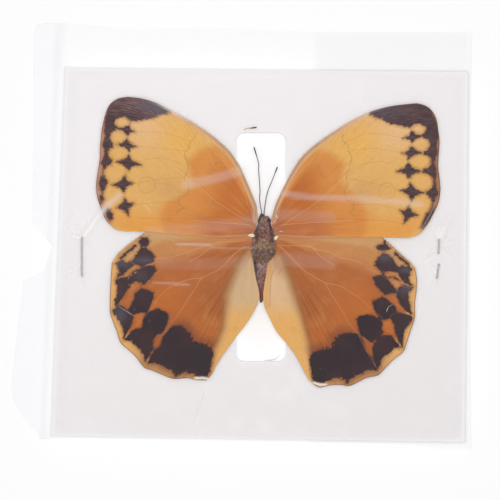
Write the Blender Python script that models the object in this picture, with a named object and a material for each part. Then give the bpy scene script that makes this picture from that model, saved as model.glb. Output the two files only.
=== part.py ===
# A spread butterfly on a hand-cut foam board. Its body lies in a slot through the board, its wings lie
# flat on the face, and one clear film covers the front, folds round the right edge and ends on the back.
# Two staples hold the film. X runs to the right, Y towards the head and Z out of the board's face.
# The origin is the middle of the footprint, on the surface that the back lies on.
# Sizes and places are in millimetres up to the point where a mesh is made.

import bmesh
import bpy
import numpy as np

MM = 0.001

GAP = 0.3  # air left between neighbouring pieces
FILM = 0.25  # thickness of the clear film
WING = 0.25  # thickness of a wing membrane
BOARD = 5.0  # thickness of the foam board
WIRE = 0.5  # diameter of the staple wire
CROWN = 12.8  # length of a staple's crown
CLINCH = 4.8  # length of a bent staple end

BOARD_BACK = FILM + GAP
BOARD_FACE = BOARD_BACK + BOARD
WING_Z = BOARD_FACE + GAP + WING / 2
FORE_LIFT = WING + GAP  # the forewings' rear edges lie over the hindwings
FILM_EDGE_Z = BOARD_FACE + GAP + FILM / 2
FILM_RISE = WING + GAP + 0.05  # the film clears the wings
FILM_TABLE_Z = FILM / 2
TOP_DROOP = 0.5  # share of its height that the free top margin loses
SLOPE_RUN = 4.5  # width of the band where the film drops to the table
FOLD_REACH = 2.0  # how far the fold bulges past its flat parts

# The board's corners, cut by hand: top left, top right, bottom right, bottom left.
BOARD_CORNERS = [(-57.4, 54.7), (73.6, 53.4), (72.6, -66.9), (-61.9, -64.9)]
SLOT_MIN = (-1.8, -40.8)
SLOT_MAX = (14.5, 33.7)
SLOT_RADIUS = 2.8

# The film's edges, each along the axis given: left by height, top and bottom by width.
FILM_LEFT = [(-66.2, -66.0), (-61.3, -70.4), (-54.0, -74.6), (-50.0, -75.2), (-30.5, -73.0), (-15.8, -71.3),
             (-12.6, -64.5), (-5.1, -61.6), (3.3, -68.4), (34.5, -67.8), (64.0, -68.0), (69.8, -66.0)]
FILM_TOP = [(-66.0, 69.3), (-63.2, 69.8), (-33.0, 67.4), (-13.5, 68.0), (24.0, 66.5), (75.2, 66.5)]
FILM_BOTTOM = [(-66.0, -66.2), (-61.5, -65.7), (-30.0, -65.8), (19.0, -66.9), (52.0, -67.5), (75.2, -69.6)]
FLAP_BOTTOM = [(21.6, -68.8), (68.0, -70.0), (75.2, -69.6)]
FILM_RIGHT = [(-70.0, 74.9), (-20.0, 74.4), (30.0, 74.4), (69.8, 75.2)]
FLAP_EDGE = [(-70.0, 21.6), (69.8, 24.2)]

STAPLE_LEFT_X = -51.8
STAPLE_LEFT_Y = -6.7
STAPLE_RIGHT_X = 63.9
STAPLE_RIGHT_Y = -7.3
PRESS_X = (1.2, 2.6)  # half widths of the hollow that the back crown presses into the flap
PRESS_Y = (7.3, 8.5)

BODY_X = 7.2
BODY_SIDES = 14
# Stations along the body: y, centre x, half width, centre height over the board's face, rise, depth.
BODY = [(6.6, 7.4, 0.8, 0.0, 0.6, 0.9), (6.1, 7.4, 1.4, 0.05, 0.9, 1.3), (5.2, 7.4, 1.8, 0.1, 1.2, 1.7),
        (3.8, 7.4, 2.0, 0.2, 1.2, 1.9), (2.0, 7.35, 2.6, 0.35, 1.4, 2.6), (0.0, 7.2, 3.15, 0.4, 1.6, 3.2),
        (-3.2, 7.2, 3.35, 0.4, 1.6, 3.3), (-5.4, 7.1, 3.15, 0.3, 1.4, 2.8), (-6.7, 6.8, 2.7, 0.2, 1.1, 2.3),
        (-7.7, 6.4, 2.25, 0.2, 1.0, 2.2), (-9.7, 6.25, 2.1, 0.15, 0.9, 2.2), (-12.0, 6.25, 1.8, 0.05, 0.7, 1.9),
        (-15.5, 6.3, 1.1, -0.1, 0.5, 1.2), (-18.1, 6.55, 0.75, -0.2, 0.4, 0.8), (-20.4, 6.5, 0.5, -0.3, 0.3, 0.5),
        (-21.4, 6.3, 0.15, -0.3, 0.1, 0.2)]
EYE_RADIUS = 0.85
EYES = [(6.0, 5.0, 0.3), (8.8, 5.0, 0.3)]  # x, y, height over the board's face

# Each wing's four sides: front and rear from the body outwards, margin from the rear corner to the tip.
FORE_LEFT = {
    "front": [(5.0, 5.6), (5.1, 8.2), (4.9, 10.0), (3.6, 13.4), (1.1, 19.3), (-0.5, 22.8), (-3.7, 27.4),
              (-7.0, 30.6), (-10.2, 33.2), (-16.7, 37.5), (-23.2, 41.0), (-28.1, 43.5), (-32.7, 44.8), (-36.9, 45.3)],
    "rear": [(3.6, 0.6), (-2.1, -0.1), (-8.3, -0.4), (-16.7, 0.2), (-23.2, 0.8), (-30.0, 1.5), (-38.2, 1.6)],
    "margin": [(-38.2, 1.6), (-40.8, 2.2), (-42.7, 3.7), (-44.4, 5.9), (-46.3, 10.8), (-47.0, 13.4), (-47.2, 16.0),
               (-47.0, 19.0), (-46.1, 24.8), (-46.0, 28.0), (-45.5, 33.9), (-44.9, 37.1), (-44.2, 39.7),
               (-43.1, 42.3), (-41.4, 44.0), (-39.5, 44.9), (-36.9, 45.3)],
}
FORE_RIGHT = {
    "front": [(10.0, 5.4), (10.2, 7.6), (11.3, 11.0), (14.0, 16.7), (17.7, 23.2), (20.2, 26.4), (23.9, 29.7),
              (28.8, 33.2), (35.3, 37.3), (41.8, 40.4), (48.3, 42.2), (54.8, 43.0), (57.0, 43.2)],
    "rear": [(11.0, 0.4), (15.6, -0.1), (20.9, -0.5), (28.7, -0.6), (36.4, -0.3), (44.2, -0.3), (54.0, -0.6)],
    "margin": [(54.0, -0.6), (57.4, 0.5), (60.0, 3.3), (62.2, 7.1), (64.0, 11.1), (64.6, 15.0), (64.4, 18.3),
               (63.9, 23.2), (64.3, 30.3), (63.9, 34.5), (63.3, 38.1), (61.9, 40.7), (59.8, 42.4), (57.0, 43.2)],
}
HIND_LEFT = {
    "front": [(3.2, -0.6), (-1.5, 1.8), (-8.3, 2.4), (-20.0, 3.0), (-28.1, 2.7), (-31.4, 1.1), (-34.5, -1.0),
              (-37.5, -3.3), (-40.5, -6.1), (-42.1, -8.7)],
    "rear": [(3.5, -4.6), (3.5, -8.4), (4.0, -12.9), (4.9, -16.2), (5.5, -18.8), (5.3, -21.7), (3.3, -25.9),
             (0.6, -29.8), (-1.9, -32.9), (-5.4, -37.7), (-7.8, -41.3), (-9.6, -44.8), (-11.3, -46.8)],
    "margin": [(-11.3, -46.8), (-14.5, -46.7), (-17.5, -46.1), (-22.0, -46.3), (-25.5, -45.1), (-29.0, -43.6),
               (-31.7, -42.6), (-34.4, -39.1), (-37.4, -36.4), (-39.4, -34.4), (-40.6, -30.7), (-41.9, -27.4),
               (-42.7, -24.6), (-42.7, -20.0), (-42.5, -14.8), (-42.1, -8.7)],
}
HIND_RIGHT = {
    "front": [(11.2, -0.6), (13.8, 1.4), (24.2, 1.7), (35.3, 1.7), (42.4, 1.4), (45.8, -0.6), (48.6, -2.8),
              (51.5, -5.5), (54.3, -8.0), (56.3, -10.1)],
    "rear": [(11.0, -4.7), (10.4, -6.8), (9.0, -8.9), (8.7, -12.4), (8.0, -16.2), (7.6, -19.4), (7.7, -23.1),
             (9.4, -27.2), (11.4, -31.1), (14.2, -34.4), (17.3, -38.4), (19.3, -42.0), (21.4, -45.9), (23.5, -48.2)],
    "margin": [(23.5, -48.2), (25.5, -49.1), (28.9, -48.4), (32.0, -48.3), (35.1, -48.6), (38.4, -47.1),
               (41.0, -45.9), (44.4, -45.1), (47.0, -42.5), (49.6, -39.9), (52.5, -37.6), (53.5, -35.2),
               (54.8, -31.1), (56.3, -26.4), (56.3, -22.0), (56.8, -18.1), (57.0, -14.2), (56.3, -10.1)],
}

ANTENNA_LEFT = [(6.6, 7.0), (5.9, 11.8), (6.0, 15.0), (5.6, 21.0), (5.5, 23.9), (4.0, 29.1)]
ANTENNA_RIGHT = [(7.3, 7.0), (7.9, 11.8), (8.7, 15.0), (10.2, 18.7), (11.7, 22.6)]
ANTENNA_RADIUS = 0.17
ANTENNA_Z = BOARD_FACE + 0.45
CLUB = 1.35  # how much thicker an antenna is near its tip
BROKEN_TIP = [(0.8, 34.4), (1.6, 35.2), (2.7, 35.0), (4.0, 35.3), (5.0, 35.4)]
BROKEN_TIP_RADIUS = 0.22

LEG_RADIUS = 0.22
# Each leg's knee, ankle and foot: distance from the body's axis, y, height over the board's back.
LEGS = {"mid": [(2.0, -1.5), (5.3, 1.2, 2.2), (5.2, -6.0, 1.2), (4.6, -11.0, 0.6)],
        "hind": [(1.6, -4.6), (3.4, -9.2, 2.1), (2.6, -14.8, 1.1), (1.8, -18.6, 0.6)]}


# ---------------------------------------------------------------- curves and surfaces

def curve_through(points, steps):
    # A Catmull-Rom curve through hand-placed points, with the same number of steps in each stretch.
    p = np.array(points, float)
    p = np.vstack([2 * p[0] - p[1], p, 2 * p[-1] - p[-2]])
    t = np.linspace(0, 1, steps, endpoint=False)[:, None]
    runs = []
    for a, b, c, d in zip(p[:-3], p[1:-2], p[2:-1], p[3:]):
        bend = (2 * a - 5 * b + 4 * c - d) * t ** 2 + (3 * b - a - 3 * c + d) * t ** 3
        runs.append(b + ((c - a) * t + bend) / 2)
    return np.vstack(runs + [p[-2:-1]])


def even_steps(curve, count):
    # The same curve with count points spaced evenly along it.
    run = np.r_[0, np.cumsum(np.linalg.norm(np.diff(curve, axis=0), axis=1))]
    at = np.linspace(0, run[-1], count)
    return np.stack([np.interp(at, run, curve[:, k]) for k in range(curve.shape[1])], axis=1)


def smooth_step(t):
    t = np.clip(t, 0, 1)
    return t * t * (3 - 2 * t)


def along(table, at):
    # A hand-placed edge read at any place along its axis.
    table = np.array(table)
    return np.interp(at, table[:, 0], table[:, 1])


def four_sided_patch(wing, across, margin_steps):
    # Coons patch: the four sides blended, minus the bilinear patch of the corners.
    margin = curve_through(wing["margin"], margin_steps)
    root = np.linspace(wing["rear"][0], wing["front"][0], len(margin))
    front = even_steps(curve_through(wing["front"], 6), across)
    rear = even_steps(curve_through(wing["rear"], 6), across)
    u = np.linspace(0, 1, across)[:, None, None]
    v = np.linspace(0, 1, len(margin))[None, :, None]
    sides = (1 - v) * rear[:, None] + v * front[:, None] + (1 - u) * root[None] + u * margin[None]
    corners = (1 - u) * ((1 - v) * root[0] + v * root[-1]) + u * ((1 - v) * margin[0] + v * margin[-1])
    return sides - corners


# ---------------------------------------------------------------- meshes and materials

def material(name, colour, roughness, metallic=0.0, alpha=1.0):
    made = bpy.data.materials.new(name)
    made.use_nodes = True
    shader = made.node_tree.nodes["Principled BSDF"]
    shader.inputs["Base Color"].default_value = (*colour, 1)
    shader.inputs["Roughness"].default_value = roughness
    shader.inputs["Metallic"].default_value = metallic
    shader.inputs["Alpha"].default_value = alpha
    made.diffuse_color = (*colour, alpha)
    return made


def object_from(name, vertices, faces, finish):
    mesh = bpy.data.meshes.new(name)
    mesh.from_pydata((np.asarray(vertices, float) * MM).tolist(), [], faces)
    mesh.materials.append(finish)
    made = bpy.data.objects.new(name, mesh)
    bpy.context.collection.objects.link(made)
    return made


def grid_faces(rows, columns, closed=False):
    # Quads of a grid stored row by row; closed joins the last column to the first.
    faces = []
    for i in range(rows - 1):
        for j in range(columns if closed else columns - 1):
            k = (j + 1) % columns
            faces.append((i * columns + j, (i + 1) * columns + j, (i + 1) * columns + k, i * columns + k))
    return faces


def face_outwards(made):
    work = bmesh.new()
    work.from_mesh(made.data)
    bmesh.ops.recalc_face_normals(work, faces=work.faces)
    work.to_mesh(made.data)
    work.free()


def thicken(made, thickness):
    wall = made.modifiers.new("thickness", "SOLIDIFY")
    wall.thickness = thickness * MM
    wall.offset = 0
    wall.use_even_offset = True
    wall.use_quality_normals = True


def prism(name, outline, low, high, finish):
    # A flat outline raised from one height to another.
    count = len(outline)
    vertices = [(x, y, low) for x, y in outline] + [(x, y, high) for x, y in outline]
    walls = [(i, (i + 1) % count, (i + 1) % count + count, i + count) for i in range(count)]
    made = object_from(name, vertices, [tuple(range(count))[::-1], tuple(range(count, 2 * count))] + walls, finish)
    face_outwards(made)
    return made


def tube(name, path, radii, finish, resolution=1):
    # A round wire along a path, as a bevelled curve with filled ends.
    line = bpy.data.curves.new(name, "CURVE")
    line.dimensions = "3D"
    line.bevel_depth = MM
    line.bevel_resolution = resolution
    line.use_fill_caps = True
    line.materials.append(finish)
    spline = line.splines.new("POLY")
    spline.points.add(len(path) - 1)
    for point, place, radius in zip(spline.points, path, radii):
        point.co = (*(np.asarray(place) * MM), 1)
        point.radius = radius
    made = bpy.data.objects.new(name, line)
    bpy.context.collection.objects.link(made)
    return made


def ball(name, centre, radius):
    work = bmesh.new()
    bmesh.ops.create_uvsphere(work, u_segments=10, v_segments=7, radius=radius * MM)
    bmesh.ops.translate(work, vec=[c * MM for c in centre], verts=work.verts)
    mesh = bpy.data.meshes.new(name)
    work.to_mesh(mesh)
    work.free()
    made = bpy.data.objects.new(name, mesh)
    bpy.context.collection.objects.link(made)
    return made


def combine(made, tool, operation):
    # A Boolean with a tool object that the finished part doesn't show.
    tool.hide_render = True
    tool.display_type = "WIRE"
    change = made.modifiers.new(tool.name, "BOOLEAN")
    change.object = tool
    change.operation = operation
    change.solver = "EXACT"


def cut(made, tool):
    combine(made, tool, "DIFFERENCE")


def join(made, tool):
    combine(made, tool, "UNION")


def ring(x, y, radius, sides):
    angles = np.arange(sides) * 2 * np.pi / sides
    return [(x + radius * np.cos(a), y + radius * np.sin(a)) for a in angles]


def rounded_rectangle(low, high, radius, steps=5):
    corners = [(high[0] - radius, high[1] - radius, 0), (low[0] + radius, high[1] - radius, 90),
               (low[0] + radius, low[1] + radius, 180), (high[0] - radius, low[1] + radius, 270)]
    outline = []
    for x, y, start in corners:
        for angle in np.radians(start + np.linspace(0, 90, steps)):
            outline.append((x + radius * np.cos(angle), y + radius * np.sin(angle)))
    return outline


# ---------------------------------------------------------------- board

def staple_holes():
    # One cutter for each staple leg, through the board and every layer of film.
    holes = []
    for side, x, y in (("left", STAPLE_LEFT_X, STAPLE_LEFT_Y), ("right", STAPLE_RIGHT_X, STAPLE_RIGHT_Y)):
        for end, step in (("upper", 1), ("lower", -1)):
            outline = ring(x, y + step * (CROWN - WIRE) / 2, WIRE / 2 + GAP, 8)
            holes.append(prism(f"hole_{side}_{end}", outline, -2, BOARD_FACE + 4, None))
    return holes


def board_side(corner_a, corner_b, at, axis):
    # Where a board edge lies: its x at a height, or its y at a width.
    a, b = np.array(BOARD_CORNERS[corner_a]), np.array(BOARD_CORNERS[corner_b])
    return a[1 - axis] + (at - a[axis]) * (b[1 - axis] - a[1 - axis]) / (b[axis] - a[axis])


def backing_board(holes):
    finish = material("white_foam", (0.82, 0.81, 0.82), 0.75)
    board = prism("backing_board", BOARD_CORNERS, BOARD_BACK, BOARD_FACE, finish)
    slot = prism("body_slot", rounded_rectangle(SLOT_MIN, SLOT_MAX, SLOT_RADIUS), -1, BOARD_FACE + 1, None)
    cut(board, slot)
    for hole in holes:
        cut(board, hole)
    # The bent ends of the left staple and the right staple's crown lie pressed into the back.
    half = CROWN / 2 + GAP
    bed = [(STAPLE_LEFT_X + i * (WIRE / 2 + GAP), STAPLE_LEFT_Y + j * half) for i, j in
           ((-1, -1), (1, -1), (1, 1), (-1, 1))]
    cut(board, prism("bed_left", bed, -1, WIRE + 2 * GAP, None))
    hollow = [(STAPLE_RIGHT_X + i * (PRESS_X[1] + GAP), STAPLE_RIGHT_Y + j * (PRESS_Y[1] + GAP)) for i, j in
              ((-1, -1), (1, -1), (1, 1), (-1, 1))]
    cut(board, prism("bed_right", hollow, -1, WIRE + FILM + 3 * GAP, None))


# ---------------------------------------------------------------- film

def front_height(x, y):
    # The front sheet's middle: raised over the wings and the thorax, low at the edges, and sloping to
    # the table past the board's left edge; the free top margin droops.
    left = board_side(3, 0, y, 1)
    right = board_side(1, 2, y, 1)
    top = board_side(0, 1, x, 0)
    bottom = board_side(2, 3, x, 0)
    from_edge = np.minimum(np.minimum(x - left, right - x), np.minimum(top - y, y - bottom))
    inner = smooth_step((from_edge - 0.5) / 6)
    ridge = smooth_step((11 - np.abs(y - 2)) / 6)
    thorax = np.exp(-((x - BODY_X) / 5.5) ** 2 - ((y + 0.5) / 9) ** 2)
    height = FILM_EDGE_Z + inner * (FILM_RISE + FORE_LIFT * ridge + 1.0 * thorax)
    drop = smooth_step((x - left + SLOPE_RUN) / (SLOPE_RUN - 0.9))
    droop = 1 - TOP_DROOP * smooth_step((y - top - 0.6) / 16)
    return FILM_TABLE_Z + (height - FILM_TABLE_Z) * drop * droop


def film_rows():
    # Heights of the film's rows on the board, closer by the torn notch, the staples and the body.
    upper = [46, 38, 30, 23, 17, 12.5, 8.5, 3.3]
    staples = [STAPLE_RIGHT_Y + s for s in (PRESS_Y[1], PRESS_Y[0], 2.2, -2.2, -PRESS_Y[0], -PRESS_Y[1])]
    lower = [-21, -28, -36, -45, -55]
    return upper + staples + lower


def film_columns():
    # Places of the front sheet's columns on the board, closer over the body.
    return [-54, -48, -40, -32, -23, -14, -6, -1, 2.5, 5, 7.3, 9.6, 12, 16, 22, 31, 40, 49, 57, 64, 69.5]


def film_outline_rows(x, top_edge, bottom_edge):
    # All of one column's heights, from the free top edge to the bottom edge.
    board_top = board_side(0, 1, x, 0) + 0.8
    free = [top_edge, board_top + 0.6 * (top_edge - board_top), board_top + 0.25 * (top_edge - board_top), board_top]
    return np.array(free + film_rows() + [bottom_edge])


def film_wrap(holes):
    columns = []
    # Left margin: from the cut edge to just on the board.
    margin_rows = film_outline_rows(-62, along(FILM_TOP, -64), along(FILM_BOTTOM, -64))
    edge = along(FILM_LEFT, margin_rows)
    side = board_side(3, 0, margin_rows, 1)
    foot = np.maximum(side - SLOPE_RUN, edge + 0.8)
    for x in (edge, (edge + foot) / 2, foot, (foot + side - 0.9) / 2, side - 0.9):
        rows = margin_rows.copy()
        rows[0] = along(FILM_TOP, x[0])
        rows[-1] = along(FILM_BOTTOM, x[-1])
        columns.append(np.stack([x, rows, front_height(x, rows)], axis=1))
    for x in film_columns():
        rows = film_outline_rows(x, along(FILM_TOP, x), along(FILM_BOTTOM, x))
        columns.append(np.stack([np.full(len(rows), x), rows, front_height(x, rows)], axis=1))
    # Fold: half a superellipse between the front sheet and the flap.
    fold_rows = film_outline_rows(75, along(FILM_TOP, 75), along(FILM_BOTTOM, 75.2))
    right = along(FILM_RIGHT, fold_rows) - FILM / 2
    front = front_height(right - FOLD_REACH, fold_rows)
    middle = (front + FILM_TABLE_Z) / 2
    for angle in np.radians([90, 66, 42, 14, -14, -42, -66, -90]):
        out = FOLD_REACH * np.cos(angle) ** 0.55
        up = (front - middle) * np.sign(np.sin(angle)) * np.abs(np.sin(angle)) ** 0.55
        columns.append(np.stack([right - FOLD_REACH + out, fold_rows, middle + up], axis=1))
    # Flap: flat on the back, pressed in over the right staple's crown.
    press = [STAPLE_RIGHT_X + s for s in (PRESS_X[1], PRESS_X[0], -PRESS_X[0], -PRESS_X[1])]
    for x in press + [54, 44, 33, None]:
        place = np.full(len(fold_rows), x) if x else along(FLAP_EDGE, fold_rows)
        rows = film_outline_rows(place[0], along(FILM_TOP, place[0]), along(FLAP_BOTTOM, place[-1]))
        inside_x = smooth_step((PRESS_X[1] - np.abs(place - STAPLE_RIGHT_X)) / (PRESS_X[1] - PRESS_X[0]))
        inside_y = smooth_step((PRESS_Y[1] - np.abs(rows - STAPLE_RIGHT_Y)) / (PRESS_Y[1] - PRESS_Y[0]))
        lift = (WIRE + GAP) * np.minimum(inside_x, inside_y)
        columns.append(np.stack([place, rows, FILM_TABLE_Z + lift], axis=1))
    grid = np.array(columns)
    finish = material("clear_film", (0.93, 0.94, 0.96), 0.08, alpha=0.25)
    film = object_from("film_wrap", grid.reshape(-1, 3), grid_faces(*grid.shape[:2]), finish)
    film.data.shade_smooth()
    thicken(film, FILM)
    for hole in holes:
        cut(film, hole)


# ---------------------------------------------------------------- staples

def staple(name, x, y, crown_z, leg_z, finish):
    # A wire from one bent end, along a leg, the crown and the other leg, to the other bent end.
    leg = (CROWN - WIRE) / 2
    turn = 0.45  # radius of a bend
    toward = np.sign(leg_z - crown_z)
    half = [(0, crown_z), (leg - turn, crown_z), (leg - turn * 0.3, crown_z + toward * turn * 0.3),
            (leg, crown_z + toward * turn), (leg, leg_z - toward * turn),
            (leg - turn * 0.3, leg_z - toward * turn * 0.3), (leg - turn, leg_z), (leg - CLINCH, leg_z)]
    path = [(x, y - along_y, z) for along_y, z in half[:0:-1]] + [(x, y + along_y, z) for along_y, z in half]
    tube(name, path, [WIRE / 2] * len(path), finish)


def staples():
    finish = material("steel_wire", (0.55, 0.56, 0.58), 0.32, metallic=1.0)
    low = WIRE / 2 + 0.05
    over = FILM / 2 + GAP + WIRE / 2
    left_top = float(front_height(STAPLE_LEFT_X, STAPLE_LEFT_Y)) + over + 0.1
    right_top = float(front_height(STAPLE_RIGHT_X, STAPLE_RIGHT_Y + CROWN / 2)) + over + 0.1
    staple("staple_left", STAPLE_LEFT_X, STAPLE_LEFT_Y, left_top, low, finish)
    staple("staple_right", STAPLE_RIGHT_X, STAPLE_RIGHT_Y, low, right_top, finish)


# ---------------------------------------------------------------- butterfly

def body_stations(steps):
    return curve_through(BODY, steps)


def butterfly_body():
    rings = body_stations(2)[1:-1]
    angles = np.arange(BODY_SIDES) * 2 * np.pi / BODY_SIDES
    across, up = np.cos(angles), np.sin(angles)
    y, centre, half, middle, rise, depth = (rings[:, k, None] for k in range(6))
    x = centre + half * across
    z = BOARD_FACE + middle + np.where(up > 0, rise, depth) * up
    vertices = np.stack([x, y + 0 * x, z], axis=2).reshape(-1, 3)
    ends = [tuple(range(BODY_SIDES)), tuple(range(len(vertices) - BODY_SIDES, len(vertices)))[::-1]]
    finish = material("dark_scales_and_hair", (0.20, 0.15, 0.14), 0.9)
    made = object_from("butterfly_body", vertices, grid_faces(len(rings), BODY_SIDES, True) + ends, finish)
    face_outwards(made)
    made.data.shade_smooth()
    for name, place in zip(("eye_left", "eye_right"), EYES):
        eye = ball(name, (place[0], place[1], BOARD_FACE + place[2]), EYE_RADIUS)
        join(made, eye)


def wing(name, sides, across, margin_steps, lift, finish):
    # The lift raises a forewing's rear part over the hindwing and fades to nothing towards its front.
    plan = four_sided_patch(sides, across, margin_steps)
    height = WING_Z + lift * (1 - smooth_step((plan[..., 1] - 4) / 9))
    grid = np.concatenate([plan, height[..., None]], axis=2)
    made = object_from(name, grid.reshape(-1, 3), grid_faces(*grid.shape[:2]), finish)
    made.data.shade_smooth()
    thicken(made, WING)


def wings():
    ochre = material("forewing_scales", (0.72, 0.42, 0.13), 0.6)
    brown = material("hindwing_scales", (0.48, 0.18, 0.06), 0.6)
    wing("forewing_left", FORE_LEFT, 21, 1, FORE_LIFT, ochre)
    wing("forewing_right", FORE_RIGHT, 21, 1, FORE_LIFT, ochre)
    wing("hindwing_left", HIND_LEFT, 13, 2, 0, brown)
    wing("hindwing_right", HIND_RIGHT, 13, 2, 0, brown)


def antennae():
    finish = material("antenna_horn", (0.16, 0.13, 0.13), 0.5)
    for name, route in (("antenna_left", ANTENNA_LEFT), ("antenna_right", ANTENNA_RIGHT)):
        plan = curve_through(route, 2)
        along_it = np.linspace(0, 1, len(plan))
        radii = ANTENNA_RADIUS * (1 + (CLUB - 1) * smooth_step((along_it - 0.8) / 0.15))
        tube(name, [(x, y, ANTENNA_Z) for x, y in plan], radii, finish)
    plan = curve_through(BROKEN_TIP, 1)
    radii = BROKEN_TIP_RADIUS * np.linspace(0.7, 1.2, len(plan))
    tube("broken_tip", [(x, y, BOARD_FACE + GAP + 0.3) for x, y in plan], radii, finish)


def body_underside(from_axis, y):
    # Height of the body's lower surface at a distance from its axis.
    stations = body_stations(8)[::-1]
    centre, half, middle, depth = (np.interp(y, stations[:, 0], stations[:, k]) for k in (1, 2, 3, 5))
    reach = min(abs(BODY_X + from_axis - centre) / half, 0.95)
    return BOARD_FACE + middle - depth * np.sqrt(1 - reach ** 2)


def legs():
    finish = material("leg_horn", (0.22, 0.17, 0.15), 0.55)
    for pair, (root, *joints) in LEGS.items():
        for side, sign in (("left", -1), ("right", 1)):
            hip = body_underside(sign * root[0], root[1]) - GAP - 1.2 * LEG_RADIUS
            path = [(BODY_X + sign * root[0], root[1], hip)]
            path += [(BODY_X + sign * x, y, BOARD_BACK + z) for x, y, z in joints]
            route = curve_through(path, 2)
            radii = LEG_RADIUS * np.linspace(1.15, 0.6, len(route))
            tube(f"leg_{pair}_{side}", route, radii, finish)


def clear_scene():
    for found in list(bpy.data.objects):
        bpy.data.objects.remove(found, do_unlink=True)


def main():
    clear_scene()
    holes = staple_holes()
    backing_board(holes)
    film_wrap(holes)
    staples()
    butterfly_body()
    wings()
    antennae()
    legs()


main()
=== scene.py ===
from functools import partial

import bmesh
import bpy
import numpy as np
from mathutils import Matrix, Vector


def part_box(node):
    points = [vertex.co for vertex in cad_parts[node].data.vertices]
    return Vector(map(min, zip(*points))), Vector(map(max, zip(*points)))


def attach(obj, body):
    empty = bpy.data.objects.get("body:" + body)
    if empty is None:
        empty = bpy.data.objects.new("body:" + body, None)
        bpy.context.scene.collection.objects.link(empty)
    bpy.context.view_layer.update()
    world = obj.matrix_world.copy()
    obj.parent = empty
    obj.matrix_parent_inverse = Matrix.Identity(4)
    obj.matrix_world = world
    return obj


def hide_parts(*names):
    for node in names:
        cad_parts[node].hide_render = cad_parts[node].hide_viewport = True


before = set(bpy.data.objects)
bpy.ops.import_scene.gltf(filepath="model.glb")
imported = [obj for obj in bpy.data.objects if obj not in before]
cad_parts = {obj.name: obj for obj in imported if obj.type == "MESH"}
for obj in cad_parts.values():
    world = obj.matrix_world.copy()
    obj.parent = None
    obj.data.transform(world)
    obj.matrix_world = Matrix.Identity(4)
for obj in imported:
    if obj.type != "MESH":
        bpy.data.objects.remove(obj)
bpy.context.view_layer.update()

# Every place and size below is in millimetres, in the frame's axes, until a mesh is made.
mm = 0.001
gap = 0.3  # air between neighbouring pieces
sheetHalf = 0.125  # half the solid sheets' thickness, and the film's height where it lies on the table
boardBack = 0.55
boardFace = boardBack + 5.0
sheetHeight = boardFace + gap + sheetHalf  # the wings, and the film at its edges
foreLift = 0.55  # the forewings' rear parts lie over the hindwings
boardCorners = [(-57.4, 54.7), (73.6, 53.4), (72.6, -66.9), (-61.9, -64.9)]  # from top left, clockwise
bodyX = 7.2
noTips = np.zeros((0, 3), int)  # a shape without triangles


def fade(value, start, full):
    # 0 at start, 1 at full and 3t^2 - 2t^3 between; start may be the larger
    t = np.clip((value - start) / (full - start), 0, 1)
    return t * t * (3 - 2 * t)


def bell(distance, width):
    # 1 on the line and exp(-1) a width away
    return np.exp(-(distance / width) ** 2)


def along(table, at):
    # a given edge read at any place along its axis
    return np.interp(at, *np.array(table, float).T)


def unit(vectors):
    # each vector divided by its own length
    return vectors / (np.linalg.norm(vectors, axis=-1, keepdims=True) + 1e-12)


def curveThrough(points, steps):
    # Catmull-Rom: each stretch is the cubic through its two points that leaves them parallel to the chords
    # between their neighbours
    p = np.array(points, float)
    p = np.vstack([2 * p[:1] - p[1:2], p, 2 * p[-1:] - p[-2:-1]])
    t = np.linspace(0, 1, steps, endpoint=False)[None, :, None]
    a, b, c, d = (p[k:len(p) - 3 + k, None] for k in range(4))
    cubic = b + ((c - a) * t + (2 * a - 5 * b + 4 * c - d) * t ** 2 + (3 * b - a - 3 * c + d) * t ** 3) / 2
    return np.vstack([cubic.reshape(-1, p.shape[1]), p[-2:-1]])


def runAlong(curve):
    # the length walked from the first point to each point
    return np.r_[0, np.cumsum(np.linalg.norm(np.diff(curve, axis=0), axis=1))]


def evenSteps(curve, count):
    # the same curve with its points spaced evenly along its length
    run = runAlong(curve)
    at = np.linspace(0, run[-1], count)
    return np.stack([np.interp(at, run, column) for column in curve.T], axis=1)


def lineDistance(x, y, line, signed=False):
    # distance to a polyline: to the foot of the perpendicular on each segment, held to the segment's ends;
    # signed, it is negative on the line's right
    nearest, side = np.full(np.shape(x), 1e9), 1.0
    line = np.array(line, float)
    for a, b in zip(line[:-1], line[1:]):
        run = b - a
        t = np.clip(((x - a[0]) * run[0] + (y - a[1]) * run[1]) / (run @ run + 1e-12), 0, 1)
        away = np.hypot(x - a[0] - t * run[0], y - a[1] - t * run[1])
        if signed:
            left = run[0] * (y - a[1]) - run[1] * (x - a[0]) >= 0
            side = np.where(away < nearest, np.where(left, 1.0, -1.0), side)
        nearest = np.minimum(nearest, away)
    return nearest * side


def insideDistance(x, y, outline):
    # distance to a closed outline, positive inside: a ray to the right of an inner place crosses the
    # outline an odd number of times
    ring = np.array([*outline, outline[0]], float)
    odd = np.zeros(np.shape(x), bool)
    for a, b in zip(ring[:-1], ring[1:]):
        rise = b[1] - a[1] + 1e-12
        odd ^= ((a[1] > y) != (b[1] > y)) & (x < (b[0] - a[0]) * (y - a[1]) / rise + a[0])
    return np.where(odd, 1, -1) * lineDistance(x, y, ring)


def hexToLinear(code):
    # sRGB hex to linear red, green, blue
    value = np.array([int(code[k:k + 2], 16) for k in (1, 3, 5)]) / 255
    return np.where(value <= 0.04045, value / 12.92, ((value + 0.055) / 1.055) ** 2.4)


def layered(base, *coats):
    # coats of colour, each (hex colour, weight) mixed over what is below it by its weight
    colour = hexToLinear(base)
    for code, weight in coats:
        weight = np.clip(weight, 0, 1)[..., None]
        colour = colour * (1 - weight) + hexToLinear(code) * weight
    return colour


def gridFaces(rows, columns, wrap=False):
    # quads of a grid stored row by row; wrap joins the last column to the first
    i, j = np.meshgrid(np.arange(rows - 1), np.arange(columns if wrap else columns - 1), indexing="ij")
    k = (j + 1) % columns
    return np.stack([i * columns + j, (i + 1) * columns + j, (i + 1) * columns + k, i * columns + k],
                    axis=-1).reshape(-1, 4)


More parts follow.
